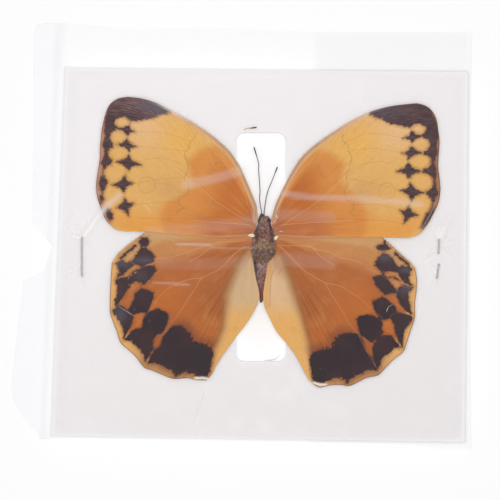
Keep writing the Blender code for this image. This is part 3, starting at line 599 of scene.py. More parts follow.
hindLeft = {
    "node": "hindwing_left", "side": -1, "lift": 0, "hub": (3.9, -1.8),
    "front": [(3.2, -0.6), (-1.5, 1.8), (-8.3, 2.4), (-20, 3), (-28.1, 2.7), (-31.4, 1.1), (-34.5, -1),
        (-37.5, -3.3), (-40.5, -6.1), (-42.1, -8.7)],
    "rear": [(3.6, -4.6), (3.9, -8.4), (4.5, -12.9), (5.3, -16.2), (5.8, -18.8), (5.4, -21.7), (3.3, -25.9),
        (0.6, -29.8), (-1.9, -32.9), (-5.4, -37.7), (-7.8, -41.3), (-9.6, -44.8), (-11.3, -46.8)],
    "margin": [(-11.3, -46.8), (-14.5, -46.7), (-17.5, -46.1), (-22, -46.3), (-25.5, -45.1), (-29, -43.6),
        (-31.7, -42.6), (-34.4, -39.1), (-37.4, -36.4), (-39.4, -34.4), (-40.6, -30.7), (-41.9, -27.4),
        (-42.7, -24.6), (-42.7, -20), (-42.5, -14.8), (-42.1, -8.7)],
    "dark": [
        [(-33.5, -1.7), (-32.5, -0.4), (-30.6, -0.4), (-29.9, -1.9), (-30.7, -3.3), (-32.7, -3.5)],
        [(-31.6, -3.4), (-29.6, -4.8), (-28.2, -6.6), (-28.6, -8.4), (-30.6, -9.3), (-33, -9.7),
         (-35.9, -8.4), (-34.5, -6.6), (-33.1, -4.3)],
        [(-40.8, -8.9), (-38.6, -7.6), (-37.5, -8.5), (-35.8, -8.2), (-35.1, -9.3), (-36.1, -10.3),
         (-37.1, -10.8), (-37.9, -11.9), (-38.8, -12.7), (-40.6, -13.7), (-40, -12.5), (-39.8, -11.1),
         (-40.2, -9.9)],
        [(-32.5, -9.5), (-28.6, -9.5), (-27.6, -10.9), (-29.6, -13.9), (-31.9, -16), (-32.5, -15.1),
         (-34.6, -14.5), (-35.8, -15.5), (-37.1, -14.7), (-36.7, -13.1), (-34.1, -11.8)],
        [(-40.8, -14.1), (-38.4, -13.3), (-36.7, -13.3), (-35.8, -15.5), (-36.9, -17.2), (-38.4, -19.6),
         (-40.4, -22.5), (-41.3, -22.7), (-41, -20.6), (-40.4, -18.8), (-40.2, -16.2), (-41, -14.8)],
        [(-32.5, -16.8), (-28.6, -18.2), (-28.6, -20), (-29.8, -22.9), (-30.8, -24.9), (-33, -24.7),
         (-35.5, -25.8), (-36.9, -24.1), (-36.3, -23.1), (-35.1, -20.6), (-34.7, -18.6)],
        [(-41.9, -23.9), (-40.4, -22.7), (-38.6, -22.4), (-36.9, -24.2), (-35.2, -25.9), (-35.4, -28.2),
         (-36.9, -30.9), (-38.4, -33.4), (-38.4, -30.1), (-39.6, -27.7), (-41.6, -24.7)],
        [(-27.2, -23.5), (-24, -24.9), (-23.7, -26.7), (-24.7, -29.7), (-26, -31.4), (-28.2, -32.4),
         (-28.8, -34.7), (-31, -33.1), (-32.3, -29.5), (-31.9, -26.7), (-31, -24.8)],
        [(-36.9, -32.4), (-35.8, -30.6), (-34.2, -30), (-31.9, -29.8), (-29.7, -32.7), (-28.8, -34.7),
         (-28.4, -36.9), (-30.5, -39.6), (-31.2, -40.6), (-31.7, -38.9), (-32.7, -36.9), (-34.9, -35.1),
         (-35.9, -33.9), (-38.4, -33.6)],
        [(-22.5, -29.2), (-19.8, -28.9), (-18.7, -29.8), (-17, -31.4), (-15.8, -34.4), (-12.5, -35.1),
         (-9.8, -36.1), (-9.3, -38.6), (-9.8, -41.1), (-10.3, -44.3), (-11.5, -45.8), (-13.5, -45.7),
         (-14.5, -45.1), (-16.5, -44.6), (-17.7, -43.6), (-19.5, -44.1), (-21.5, -45.2), (-22.7, -43.6),
         (-25, -42.6), (-27.5, -41.1), (-30.5, -41.1), (-28.8, -37.6), (-26.2, -35.4), (-25.7, -32.9)]],
    "streaks": [([(-34.7, -3.2), (-36.6, -4.8), (-39.2, -7.2)], 0.32),
        ([(-33.1, -10.6), (-34.8, -11.4), (-35.9, -12.2)], 0.2)],
    "pale": [
        [(1.4, -1.7), (-6.2, -1.7), (-8.7, -2.7), (-10.4, -3.9), (-13.3, -6.2), (-17, -8.5)],
        [(-8.7, -2.7), (-13.7, -3.8), (-18.1, -5.4), (-23.2, -6.8), (-27.6, -7.4)],
        [(1.2, -3.1), (-2.5, -6), (-6.7, -10.4), (-10, -12), (-12.9, -13.5), (-16.4, -13.9), (-20.1, -15.1),
         (-24.5, -17.5), (-27.5, -20.7), (-30.7, -25.3), (-34.6, -29.5), (-38.5, -34)],
        [(-12.9, -13.5), (-15, -16.8), (-17.8, -21.1), (-19.5, -23.7), (-23, -28.6), (-26, -32.4),
         (-29.4, -38.1), (-31.4, -42.3)],
        [(-26.5, -11), (-33.3, -17.5), (-36.9, -20.7), (-41.8, -24)],
        [(-28.2, -8.4), (-31.6, -9.9), (-36.2, -11.6)],
        [(-41.6, -23.3), (-38.4, -20.8)]],
    "lines": [],
    "veins": [
        [(2, -6), (-4, -14), (-9, -24), (-13, -33)],
        [(1.6, -4.6), (-6.5, -13.5), (-13, -23), (-18, -31), (-22, -45.4)],
        [(-9, -14), (-14.5, -24), (-18.6, -29.5)],
        [(2.6, -6.6), (-2, -14), (-6, -24), (-9.5, -36)]],
    "anal": [(2, -5), (-1.5, -9.8), (-3.5, -14.9), (-5, -19.1), (-5.2, -26.3), (-5.6, -29.8), (-8.5, -37),
        (-10.6, -46.8), (12, -46.8), (12, -4)],
    "misty": [(-31.5, -7.8, 3.6, 1.1, 0.6), (-38.4, -9, 3, 1.4, 0.5), (-33, -12.6, 3, 2, 0.25),
        (-39.4, -25.6, 2.2, 2.4, 0.5)],
    "frost": [(-15, -46.2), (-12.6, -46), (-10.9, -46.4)],
    "rings": [(-24.5, -4.2, 2.7)], "foldTint": "#cfb08a", "foldRoot": 0.15,
}

hindRight = {
    "node": "hindwing_right", "side": 1, "lift": 0, "hub": (10.9, -2),
    "front": [(11.2, -0.6), (13.8, 1.4), (24.2, 1.7), (35.3, 1.7), (42.4, 1.4), (45.8, -0.6), (48.6, -2.8),
        (51.5, -5.5), (54.3, -8), (56.3, -10.1)],
    "rear": [(11, -4.7), (10, -6.8), (8.5, -8.9), (8, -12.4), (7.35, -16.2), (7.05, -19.4), (7.5, -23.1),
        (9.4, -27.2), (11.4, -31.1), (14.2, -34.4), (17.3, -38.4), (19.3, -42), (21.4, -45.9), (23.5, -48.2)],
    "margin": [(23.5, -48.2), (25.5, -49.1), (28.9, -48.4), (32, -48.3), (35.1, -48.6), (38.4, -47.1),
        (41, -45.9), (44.4, -45.1), (47, -42.5), (49.6, -39.9), (52.5, -37.6), (53.5, -35.2), (54.8, -31.1),
        (56.3, -26.4), (56.3, -22), (56.8, -18.1), (57, -14.2), (56.3, -10.1)],
    "dark": [
        [(43.6, -3.5), (44.5, -2.8), (46, -2.7), (46.5, -1.4), (47.6, -3.2), (48.4, -4), (46.7, -4.8),
         (44.7, -4.6)],
        [(46, -5.3), (47.6, -5.9), (49, -7), (50.5, -9.5), (51.7, -10.7), (50.9, -11.8), (48.6, -11.3),
         (47.1, -11.6), (45.4, -11.6), (43.3, -9.5), (43.5, -8.2)],
        [(50.9, -9.8), (52.8, -9.7), (54.7, -9.9), (55.3, -10.9), (54.7, -12.2), (54.3, -13.5), (54.5, -14.9),
         (55.9, -16.6), (53.2, -15.3), (51.9, -13.7), (50.7, -11.8)],
        [(46, -12), (42.7, -13.5), (43.6, -15.8), (45.4, -17.9), (46.7, -19.1), (48.6, -18.6), (50.5, -18.4),
         (50.4, -17.3), (48.6, -15.5), (47.6, -13.5)],
        [(51.9, -15.8), (55.7, -16.8), (54.3, -18.3), (54.3, -20.2), (54.7, -22.7), (55.3, -25.4),
         (53.6, -24.4), (51.9, -22.5), (50.2, -19.1), (50.5, -17.8)],
        [(46, -19.6), (42.7, -21), (42.9, -23.1), (43.6, -25.1), (45.4, -27.4), (47.6, -26.9), (49.2, -25.6),
         (50.5, -25.1), (50.1, -23), (48.6, -21.5)],
        [(47.6, -26.4), (50.1, -24.8), (51.4, -24.9), (55.3, -25.7), (55.7, -26.7), (54.8, -28.2),
         (53, -30.3), (52.5, -32.9), (52.2, -36), (51.4, -34.7), (49.9, -31.9), (49.6, -28.7), (48.8, -27.1)],
        [(41, -25.4), (43.6, -25.9), (45.7, -28), (46, -31.6), (44.4, -33.2), (42.3, -34.5), (40.5, -33.4),
         (38.7, -32.1), (37.9, -29.5), (37.4, -26.7), (38.8, -25.8)],
        [(43.7, -33.4), (46.5, -31.9), (48.8, -32.4), (50.6, -34.7), (52.2, -36.3), (49.6, -36.3),
         (47.8, -38.1), (45.7, -39.6), (44.9, -42.2), (44.2, -43.5), (42.9, -40.2), (42.6, -36.3)],
        [(35.6, -31.3), (37.9, -31.9), (39.5, -34.2), (40.1, -37), (42.1, -39.2), (44.2, -43.5), (41, -43.4),
         (38.4, -44.8), (36.1, -45.8), (34.5, -47.4), (32.5, -45.8), (30.4, -45.5), (28.9, -46.3),
         (26.8, -47.3), (24.2, -47.7), (23.2, -46.6), (22.7, -44.1), (22.1, -40.9), (22.4, -38.6),
         (24.9, -37.5), (27.8, -36.8), (29.9, -36.3), (30.4, -33.4), (33, -31.6)]],
    "streaks": [([(50.1, -5.7), (52.2, -7.5), (54.3, -9.5)], 0.34),
        ([(48.4, -13.3), (49.9, -13.6), (51.3, -14.3)], 0.2)],
    "pale": [
        [(11.6, -3), (21.2, -3.2), (24.3, -4.2), (28.6, -5.2), (32.6, -7.1), (36.7, -7.8), (39.2, -9)],
        [(22.4, -3.3), (23.9, -4.6), (25.9, -6.7), (30.1, -9.4)],
        [(12.7, -3.4), (15.8, -6.5), (19.1, -10), (21.2, -11.7), (26.6, -14.8), (31.5, -16), (34.2, -17.3),
         (36.3, -18.7), (40.5, -22), (45, -25.9), (49.2, -30.5), (51.8, -35.3)],
        [(27.2, -15.4), (29.1, -18.7), (31.1, -21.8), (33.4, -25.4), (34.5, -27.7), (37.7, -31.9),
         (40.8, -37.6), (44.2, -43.3)],
        [(40.5, -10.3), (45, -12.4), (50.5, -15.8), (55.4, -17)],
        [(47, -19.4), (52.4, -23.8), (55.5, -25.9)]],
    "lines": [
        [(10.4, -11), (9.7, -13.2), (9.3, -17.3), (9.1, -22.7)],
        [(13.6, -9.9), (12.8, -11), (11.9, -12.3)]],
    "veins": [
        [(12.6, -5.4), (18, -13.5), (22, -23), (26, -36)],
        [(13.2, -4.6), (21, -14), (28, -26), (34.5, -47)],
        [(24, -14), (28.6, -23), (32, -31)],
        [(12.4, -6.4), (16, -13.5), (19, -24), (23, -37)]],
    "anal": [(12.3, -6.3), (14.4, -11.1), (15.8, -14.5), (17.2, -18.9), (18.7, -24.2), (20.3, -30.5),
        (22.3, -38), (23.6, -49), (2, -49), (2, -4)],
    "misty": [(46.6, -6.7, 2.8, 1.5, 0.5), (53.4, -10.9, 2.2, 1.1, 0.5), (53.2, -17.3, 2.6, 1.6, 0.45)],
    "frost": [(27.4, -48.2), (25.2, -48.2), (23.6, -47.6)],
    "stripe": [(9.2, -10.5), (8.4, -14), (8, -18), (8.1, -23)],
    "rings": [(39.1, -6.1, 2.7)], "foldTint": "#dab890", "foldRoot": 0.5,
}

wingCut = {"across": 196, "up": 196, "thickness": 0.14, "root": 0.45, "vein": 0.04, "costa": 0.13}


def wingGrid(wing, across, up):
    # Coons patch: the four sides blended, minus the bilinear patch of the corners; the root is set a
    # little deeper than the solid's, so that the wing grows out of the body's hair
    inward = np.array([-wing["side"] * wingCut["root"], 0])
    front, rear = (evenSteps(curveThrough([inward + wing[key][0], *wing[key][1:]], 12), across)
                   for key in ("front", "rear"))
    margin = evenSteps(curveThrough(wing["margin"], 12), up)
    v = np.linspace(0, 1, up)[None, :, None]
    u = np.linspace(0, 1, across)[:, None, None]
    root = rear[0] * (1 - v) + front[0] * v
    sides = (1 - v) * rear[:, None] + v * front[:, None] + (1 - u) * root + u * margin[None]
    corners = (1 - u) * root + u * ((1 - v) * margin[0] + v * margin[-1])
    return sides - corners, u[..., 0] + 0 * v[..., 0], v[..., 0] + 0 * u[..., 0]


def starOutline(star):
    # four tips with hollow sides: between neighbouring tips the outline comes back to near the middle
    middle, tips = np.array(star[0]), np.array(star[1:])
    waist = middle + 0.70 * ((tips + np.roll(tips, -1, axis=0)) / 2 - middle)
    tips = middle + 1.08 * (tips - middle)
    return np.stack([tips, waist], axis=1).reshape(-1, 2)


def darkField(wing, x, y):
    # millimetres inside the nearest dark mark, negative outside: discs are cut out of the band, stars added
    dark = np.maximum.reduce([insideDistance(x, y, outline) for outline in wing["dark"]], initial=-9.0)
    for cx, cy, rx, ry in wing.get("discs", ()):
        dark = np.minimum(dark, (np.hypot((x - cx) / rx, (y - cy) / ry) - 1) * min(rx, ry))
    for star in wing.get("stars", ()):
        dark = np.maximum(dark, insideDistance(x, y, starOutline(star)))
    for line, width in wing.get("streaks", ()):
        dark = np.maximum(dark, width - lineDistance(x, y, line))
    return dark


def linesField(wing, key, x, y):
    # signed millimetres to the nearest line of the list, up to 3
    nearest = np.full(x.shape, 3.0)
    for line in wing.get(key, ()):
        away = lineDistance(x, y, curveThrough(line, 4), signed=True)
        nearest = np.where(np.abs(away) < np.abs(nearest), away, nearest)
    return nearest


def forewingColour(wing, u, v, x, y, fromFront):
    # ochre outwards, pinkish by the apex, a step to orange at the wavy line, red-brown towards the body,
    # grey-tan along the front edge
    step = along(wing["step"], v)
    discal = fade(u, step, step - 0.07)
    costal = fade(fromFront, 1.7, 1.0) * fade(u, 0.98, 0.78)
    border, much = wing["border"]
    return layered(
        "#deae68",
        ("#e3ba8c", 0.9 * bell(u - 0.8, 0.14) * bell(v - 0.8, 0.15)),
        ("#e6b35f", 0.8 * bell(u - 0.6, 0.13) * bell(v - 0.8, 0.13)),
        ("#cf9d66", 0.7 * bell(u - 0.58, 0.10) * bell(v - 0.42, 0.10)),
        ("#de9b4d", 0.9 * fade(v, 0.30, 0.10) * fade(u, 1.02, 0.90)),
        ("#d58a42", 0.9 * fade(v, 0.36, 0.22) * fade(u, 0.72, 0.52)),
        ("#d38a47", 0.9 * discal * fade(v, 1.0, 0.92)),
        (wing["core"], 0.9 * discal * fade(u, 0.46, 0.24) * fade(v, 0.93, 0.81)),
        ("#b9714a", 0.8 * fade(u, 0.52, 0.22) * fade(v, 0.34, 0.22)),
        ("#a86d53", 0.75 * fade(u, 0.15, 0.03)),
        (border, much * fade(u, 0.945, 0.975) * fade(v, 0.12, 0.22)),
        ("#c99c7c", 0.55 * fade(v, 0.07, 0.02) * fade(u, 0.6, 0.3)),
        ("#d9b291", 0.8 * costal),
        ("#9d7a62", 0.6 * costal * bell(fromFront - 0.5, 0.5) * fade(u, 0.75, 0.35)))


def hindwingColour(wing, u, v, x, y, fromFront):
    # red-brown disc, more orange outwards, a tan front strip and a pale grey-tan to orange fold by the body
    anal = insideDistance(x, y, wing["anal"])
    return layered(
        "#b0683c",
        ("#bb6c35", 0.8 * fade(u, 0.42, 0.72) * fade(v, 0.75, 0.55)),
        ("#c68a58", 0.85 * fade(v, 0.70, 0.82)),
        ("#a35f38", 0.5 * bell(u - 0.45, 0.2) * bell(v - 0.32, 0.12)),
        ("#c99e6c", 0.85 * fade(v, 0.87, 0.92) * fade(u, 0.16, 0.36)),
        ("#dbaa6c", 0.95 * fade(u, 0.925, 0.955)),
        ("#9a6b42", 0.75 * fade(anal, -3, 0)),
        (wing["foldTint"], 0.95 * fade(anal, -1.2, 3.0)),
        ("#e0ab63", 0.92 * fade(y, -19, -28) * fade(anal, -1.2, 2.4)),
        ("#b3785a", 0.4 * fade(u, 0.12, 0)),
        ("#b07d66", wing["foldRoot"] * fade(y, -15, -9) * fade(anal, -0.5, 1.0)),
        ("#d9a15a", 0.75 * bell(lineDistance(x, y, wing.get("stripe", ())), 0.9)))


def pleats(u, v, x, y, start):
    # folds that fan out from the root: a sine across the wing that begins at start and fades in 9 mm
    reach = np.hypot(x - x[0].mean(), y - y[0].mean())
    return np.sin(41 * v + 2 * np.sin(9 * v)) * np.exp(-reach / 9) * fade(u, 0, start)


def scaleMaterial():
    # Butterfly wing: a dry membrane under overlapping scales 0.05 by 0.1 mm, set in rows across the rays.
    # The eye gets a matt, powdery colour with feathered mark edges and a faint silky sheen along the rays.
    # The scales are too fine to show, so their streaks are drawn at 0.3 to 0.5 mm.
    finish, add = newMaterial("wing scales")
    field = {name: add("Attribute", {"attribute_name": name}, output="Fac") for name in
             ("dark", "pale", "paleSide", "veins", "veinsSide", "lines", "linesSide", "rings", "apex", "slate",
              "pink", "frost", "edge", "rim", "comb", "glow", "halo", "along", "across")}
    brushed = add("CombineXYZ", {}, {"X": field["along"], "Y": field["across"], "Z": 0.0})
    pattern = {"brush": add("TexNoise", {}, {"Vector": brushed, "Scale": 1, "Detail": 2, "Roughness": 0.6})}
    grain = add("UVMap", {"uv_map": "grain"})
    for name, scale, detail, rough in (("streak", (0.32, 1.7, 1), 4, 0.7), ("comb", (0.75, 2.9, 1), 2, 0.6),
                                       ("ray", (0.06, 2.6, 1), 3, 0.6), ("speck", (2.0, 2.6, 1), 3, 0.75),
                                       ("cloud", (0.13, 0.2, 1), 3, 0.6)):
        stretched = add("Mapping", {}, {"Vector": grain, "Scale": scale})
        pattern[name] = add("TexNoise", {}, {"Vector": stretched, "Scale": 1, "Detail": detail,
                                             "Roughness": rough})
    brush, streak, speck, cloud = (pattern[name] for name in ("brush", "streak", "speck", "cloud"))
    # a line stays sharp between mesh points where its signed distance passes zero
    for name in ("pale", "veins", "lines"):
        away = add("Math", positive, {0: field[name + "Side"]})
        field[name] = add("Math", larger, {0: away, 1: add("Math", plus, {0: field[name], 1: -0.28})})
    wavy = add("Math", timesPlus, {0: streak, 1: 0.4, 2: field["lines"]})
    edge = add("Math", timesPlus, {0: pattern["comb"], 1: 1.4, 2: field["edge"]})
    # mark edges: combed teeth along the rays, longer where the wing is combed
    teeth = add("Mix", mixed, {0: field["apex"], 6: pattern["comb"], 7: brush}, 2)
    teeth = add("Math", timesPlus, {0: teeth, 1: 1.7, 2: -0.67})
    teeth = add("Math", times, {0: teeth, 1: add("Math", timesPlus, {0: field["comb"], 1: 1.6, 2: 1.0})})
    ragged = add("Math", plus, {0: teeth, 1: add("Math", timesPlus, {0: speck, 1: 1.5, 2: -0.75})})
    inside = add("Math", plus, {0: field["dark"], 1: ragged})
    ink = coated(add, "#403033", (cloud, 0.35, 0.65, 1, "#352d31"))
    apexInk = coated(add, "#533e3f", (brush, 0.40, 0.62, 1, "#866969"))
    ink = add("Mix", mixed, {0: field["apex"], 6: ink, 7: apexInk}, 2)
    ink = add("Mix", mixed, {0: field["slate"], 6: ink, 7: "#5d5c66"}, 2)
    ink = coated(add, ink, (speck, 0.58, 0.76, 0.5, "#8a7b7e"))
    colour = add("Attribute", {"attribute_name": "wash"}, output="Color")
    for source, low, high, share, code in ((streak, 0.3, 0.7, 0.15, "#d3cac0"),
                                           (speck, 0.32, 0.68, 0.26, "#dbd4cc")):
        shade = coated(add, code, (source, low, high, 1, "#ffffff"))
        colour = add("Mix", stained, {0: share, 6: colour, 7: shade}, 2)
    # stray pale scales, one to every few millimetres
    specks = add("TexVoronoi", {}, {"Vector": add("TexCoord", output="Object"), "Scale": 1 / (3.2 * mm)})
    colour = coated(
        add, colour, (cloud, 0.48, 0.75, 0.16, "#d9a25f"), (cloud, 0.42, 0.20, 0.20, "#b5703e"),
        (pattern["ray"], 0.48, 0.64, 0.42, "#7b4427", field["comb"]),
        (field["veins"], 0.26, 0.05, 0.14, "#8a5528"), (wavy, 0.52, 0.20, 0.40, "#8b7250"),
        (field["rings"], 0.0, 1.0, 0.21, "#94744a"), (edge, 2.6, 1.6, 0.80, "#b38272", field["pink"]),
        (field["dark"], -4.6, -0.3, 0.62, "#6b3f35", field["halo"]), (inside, -1.0, 0.10, 0.45, "#7a4632"),
        (inside, -0.14, 0.36, 1.0, ink), (specks, 0.055, 0.03, 0.5, "#d2c2b8"),
        (field["pale"], 0.15, 0.03, 0.42, "#dba87e", field["glow"]),
        (field["frost"], 0.0, 1.0, 1.0, "#e6ddd0"), (field["rim"], 0.34, 0.05, 0.75, "#6b4735"))
    relief = add("Math", timesPlus, {0: streak, 1: 0.7, 2: speck})
    normal = add("Bump", {}, {"Height": relief, "Distance": 0.05 * mm, "Strength": 0.4})
    scales = add("BsdfPrincipled", {}, {"Base Color": colour, "Roughness": 0.62, "Specular IOR Level": 0.12,
                                        "Sheen Weight": 0.02, "Sheen Roughness": 0.4, "Normal": normal})
    add("OutputMaterial", {}, {"Surface": scales})
    return finish


def forewingMarks(wing, u, v, x, y, fromFront, fromMargin):
    # where each look of the material is let in, from 0 to 1; rim is in millimetres
    frost = wing["frosty"] * bell(fromFront, 0.7) * fade(v, 0.9, 0.95) * bell(u - 0.76, 0.12)
    inlay = wing["inlay"] * bell(fromMargin - 0.85, 0.22) * fade(v, 0.36, 0.26) * fade(v, 0.06, 0.11)
    return {"apex": 0.3 + (wing["band"] - 0.3) * fade(v, 0.78, 0.92),
            "slate": wing["bluish"] * bell(fromFront - 1.8, 1.6) * fade(u, 0.95, 0.83),
            "pink": wing["strip"] * fade(v, 0.06, 0.16), "frost": np.maximum(frost, inlay),
            "comb": 0.25 * fade(u, 0.75, 0.55) + 0.8 * bell(u - 0.79, 0.07) * fade(v, 0.82, 0.88),
            "rim": fromMargin + 0.4 * fade(v, 0.14, 0.04), "glow": 1 + 0 * u, "halo": 0 * u}


def hindwingMarks(wing, u, v, x, y, fromFront, fromMargin):
    # the same for a hindwing, where the rays beside the fold by the body are combed dark
    slate = [much * bell(np.hypot((x - cx) / rx, (y - cy) / ry), 1) for cx, cy, rx, ry, much in wing["misty"]]
    beside = insideDistance(x, y, wing["anal"])
    return {"apex": 0.12 * fade(v, 0.5, 0.8), "slate": np.maximum.reduce(slate), "pink": 0 * u,
            "frost": 0.85 * bell(lineDistance(x, y, wing["frost"]), 0.5),
            "comb": fade(u, 0.12, 0.37) * fade(beside, -14, -5) * fade(beside, -0.2, -1.7), "rim": fromMargin,
            "glow": 1 - 0.6 * fade(u, 0.5, 0.8), "halo": fade(v, 0.52, 0.32) * fade(v, 0.05, 0.13)}


def makeWing(wing, finish, paint, marks):
    # a closed sheet over the wing's grid: veins and front rib stand up, pleats and slow waves bend it
    grid, u, v = wingGrid(wing, wingCut["across"], wingCut["up"])
    x, y = grid.transpose(2, 0, 1)
    fromFront, fromMargin = (lineDistance(x, y, evenSteps(curveThrough(wing[side], 12), 140))
                             for side in ("front", "margin"))
    signed = {key: linesField(wing, key, x, y) for key in ("pale", "veins", "lines")}
    folds = 0.07 * pleats(u, v, x, y, 0.06)
    waves = 0.06 * np.sin(x * 0.31 + 1.3 * v) * np.sin(y * 0.23) * fade(u, 0, 0.2)
    relief = (wingCut["vein"] * np.maximum(bell(signed["pale"], 0.3), 0.5 * bell(signed["veins"], 0.3))
              + wingCut["costa"] * bell(fromFront, 0.55) * fade(u, 1, 0.7))
    lift = wing["lift"] * fade(y, 13, 4)
    grid = np.stack([x, y, sheetHeight + lift + relief + folds + waves], axis=2)
    near = np.minimum(np.minimum(fromFront, fromMargin), 0.5) / 0.5
    rings = 0 * u
    for cx, cy, radius in wing["rings"]:
        away = np.hypot(x - cx, y - cy)
        rings = np.maximum.reduce([rings, bell(away - radius, 0.3), 0.5 * bell(away - 0.5 * radius, 0.45)])
    # painted shade: the wash is lighter on each pleat's ridge and darker in its fold, by up to a tenth
    wash = paint(wing, u, v, x, y, fromFront) * (1.01 * (1 + 0.10 * pleats(u, v, x, y, 0.03)))[..., None]
    # the apex is brushed along the wing: steps of 2.6 mm that way and of 0.3 mm across it
    both = {"along": u * 50 / 2.6, "across": v * 46 / 0.3, "wash": wash, "dark": darkField(wing, x, y),
            "rings": rings, "edge": fromMargin, **marks(wing, u, v, x, y, fromFront, fromMargin)}
    for key, away in signed.items():
        both.update({key: np.abs(away), key + "Side": away})
    fields = {key: np.concatenate([value, value]).reshape(-1, *value.shape[2:]) for key, value in both.items()}
    fromHub, aside = x - wing["hub"][0], y - wing["hub"][1]
    # the grain runs along the rays: millimetres from the hub, and turned round it at 17 mm
    fan = 17 * np.arctan2(aside, wing["side"] * fromHub)
    grain = np.stack([np.hypot(fromHub, aside), fan], axis=2).reshape(-1, 2)
    shape = closedSheet(grid, wingCut["thickness"] * (0.45 + 0.55 * near))
    makePiece(wing["node"] + "_scaled", shape, finish, [wing["node"]], fields,
              np.concatenate([grain, grain]))


wingFinish = scaleMaterial()
for wing in (foreLeft, foreRight):
    makeWing(wing, wingFinish, forewingColour, forewingMarks)
for wing in (hindLeft, hindRight):
    makeWing(wing, wingFinish, hindwingColour, hindwingMarks)
print("stage: wings")


filmShape = {
    "left": [(-66.2, -66), (-61.3, -70.4), (-54, -74.6), (-50, -75.2), (-30.5, -73), (-15.8, -71.3),
        (-12.6, -64.5), (-5.1, -61.6), (3.3, -68.4), (34.5, -67.8), (64, -68), (69.8, -66)],
    "top": [(-66, 69.3), (-63.2, 69.8), (-33, 67.4), (-13.5, 68), (24, 66.5), (75.2, 66.5)],
    "bottom": [(-66, -66.2), (-61.5, -65.7), (-30, -65.8), (19, -66.9), (52, -67.5), (75.2, -69.6)],
    "flapBottom": [(21.6, -68.8), (68, -70), (75.2, -69.6)],
    "right": [(-70, 74.8), (-20, 74.3), (30, 74.3), (69.8, 75.1)],
    "flapEdge": [(-70, 21.6), (69.8, 24.2)],
    # creases pulled by the staples: line, width, height, how whitened the film is along them
    "creases": [([(-50.8, 0.4), (-45.8, 7.5), (-42.5, 10.9), (-39.7, 13.4)], 0.9, 0.16, 0.6),
        ([(-52.6, -0.6), (-55.5, 0.4), (-58.2, 4.2)], 0.4, 0.16, 0.6),
        ([(-52, 0.2), (-53, 2.4), (-54.7, 7.6)], 0.35, 0.12, 0.4),
        ([(-51.2, 0.2), (-49.9, 4.6)], 0.35, 0.12, 0.5),
        ([(-51, -0.4), (-49.6, -2.2), (-47.8, -4.1)], 0.35, 0.1, 0.2),
        ([(-52.8, -10.4), (-55.3, -11.1), (-58.5, -13.2)], 0.4, 0.14, 0.4),
        ([(-51.6, -13.2), (-50.4, -17)], 0.35, 0.1, 0.16), ([(63.8, 0), (64, 4.4)], 0.9, 0.12, 0.5),
        ([(64.4, 0.2), (67.4, 6.4)], 1.5, 0.12, 0.5),
        ([(65.6, -0.4), (69.8, -2.1), (73.2, -2.6)], 0.6, 0.13, 0.26),
        ([(65.6, -3.6), (67.9, -5.3), (70.1, -6.4)], 0.6, 0.15, 0.28),
        ([(62.6, -4.4), (59.6, -6.9)], 0.7, 0.13, 0.36), ([(63, -14.3), (61.9, -17.6)], 0.5, 0.12, 0.22),
        ([(62.6, -10.6), (60.6, -9.2)], 0.6, 0.1, 0.34)],
    # pale bands where the lamp's reflection lay on the film, painted as white haze (painted reflection): line,
    # width, haze
    "glareBands": [([(-17.6, 17), (-8, 18.9), (1, 21.8)], 1.6, 0.12),
        ([(-30, 1.4), (-16, 2.4), (-4, 4), (4.4, 4.6)], 1.9, 0.05),
        ([(-21, -2.5), (-16, -2.7), (-10.6, -2.8)], 0.4, 0.17),
        ([(-9.6, -3.7), (-2, -3.9), (4, -3.8)], 0.35, 0.08),
        ([(-25, -8.9), (-11, -9), (1.5, -8.2)], 2, 0.035),
        ([(-28.8, -15.3), (-22, -15.4), (-16.9, -15.7)], 0.35, 0.13),
        ([(13.6, 13.8), (24, 12.6), (38.2, 12.2), (58, 10.5)], 1.1, 0.13),
        ([(13.4, 7), (21, 6.6), (28.8, 6.2)], 2, 0.06), ([(14, -7.4), (21, -8), (28.8, -8.6)], 2.4, 0.05),
        ([(-53.2, -0.2), (-49.9, 0.6)], 1.2, 0.3), ([(62.6, -9), (63.4, -12.4)], 0.9, 0.34)],
    # hairline scratches: ends and half width
    "scratches": [((-32, 10.5), (-29.4, 8.2), 0.07), ((47, -24.6), (47.7, -22.9), 0.08),
        ((47.7, -22.9), (49.2, -22.1), 0.05), ((-40, -22.7), (-34.9, -25.9), 0.05),
        ((-15.3, -59.9), (-11.6, -49.5), 0.05)],
    "thickness": 0.1, "slope": 4.5, "fold": 2.0, "rise": 0.6, "rows": 182, "span": (-67.0, 67.5),
    "columns": {"margin": 12, "slope": 9, "face": 166, "fold": 17, "flap": 36},
    # where rows and columns stand closer: place, width, how much closer
    "rowCrowds": [(-6.7, 9.0, 1.6)], "faceCrowds": [(-52.0, 5.0, 2.2), (64.0, 5.0, 2.2), (7.2, 5.0, 0.8)],
    "flapCrowds": [(63.9, 3.0, 3.0)],
    "crown": (-51.8, -6.7), "clinches": (63.9, -7.3),  # middles of the left and the right staple
}


def boardSide(first, second, at, axis):
    # where a board edge lies: its x at a height (axis 1) or its y at a width (axis 0)
    a, b = boardCorners[first], boardCorners[second]
    return a[1 - axis] + (at - a[axis]) * (b[1 - axis] - a[1 - axis]) / (b[axis] - a[axis])


def crowdedSteps(count, low, high, crowds):
    # steps from 0 to 1 that stand closer around each crowd
    place = np.linspace(low, high, 2000)
    run = np.cumsum(1 + sum(much * bell(place - where, width) for where, width, much in crowds))
    return np.interp(np.linspace(run[0], run[-1], count), run, np.linspace(0, 1, 2000))


def creaseLines(x, y):
    # for each crease: distance to it, distance from its first point as a share of its length, its looks
    for line, width, height, white in filmShape["creases"]:
        path = curveThrough(line, 5)
        reach = np.hypot(x - path[0][0], y - path[0][1]) / np.linalg.norm(path[-1] - path[0])
        yield lineDistance(x, y, path), reach, width, height, white


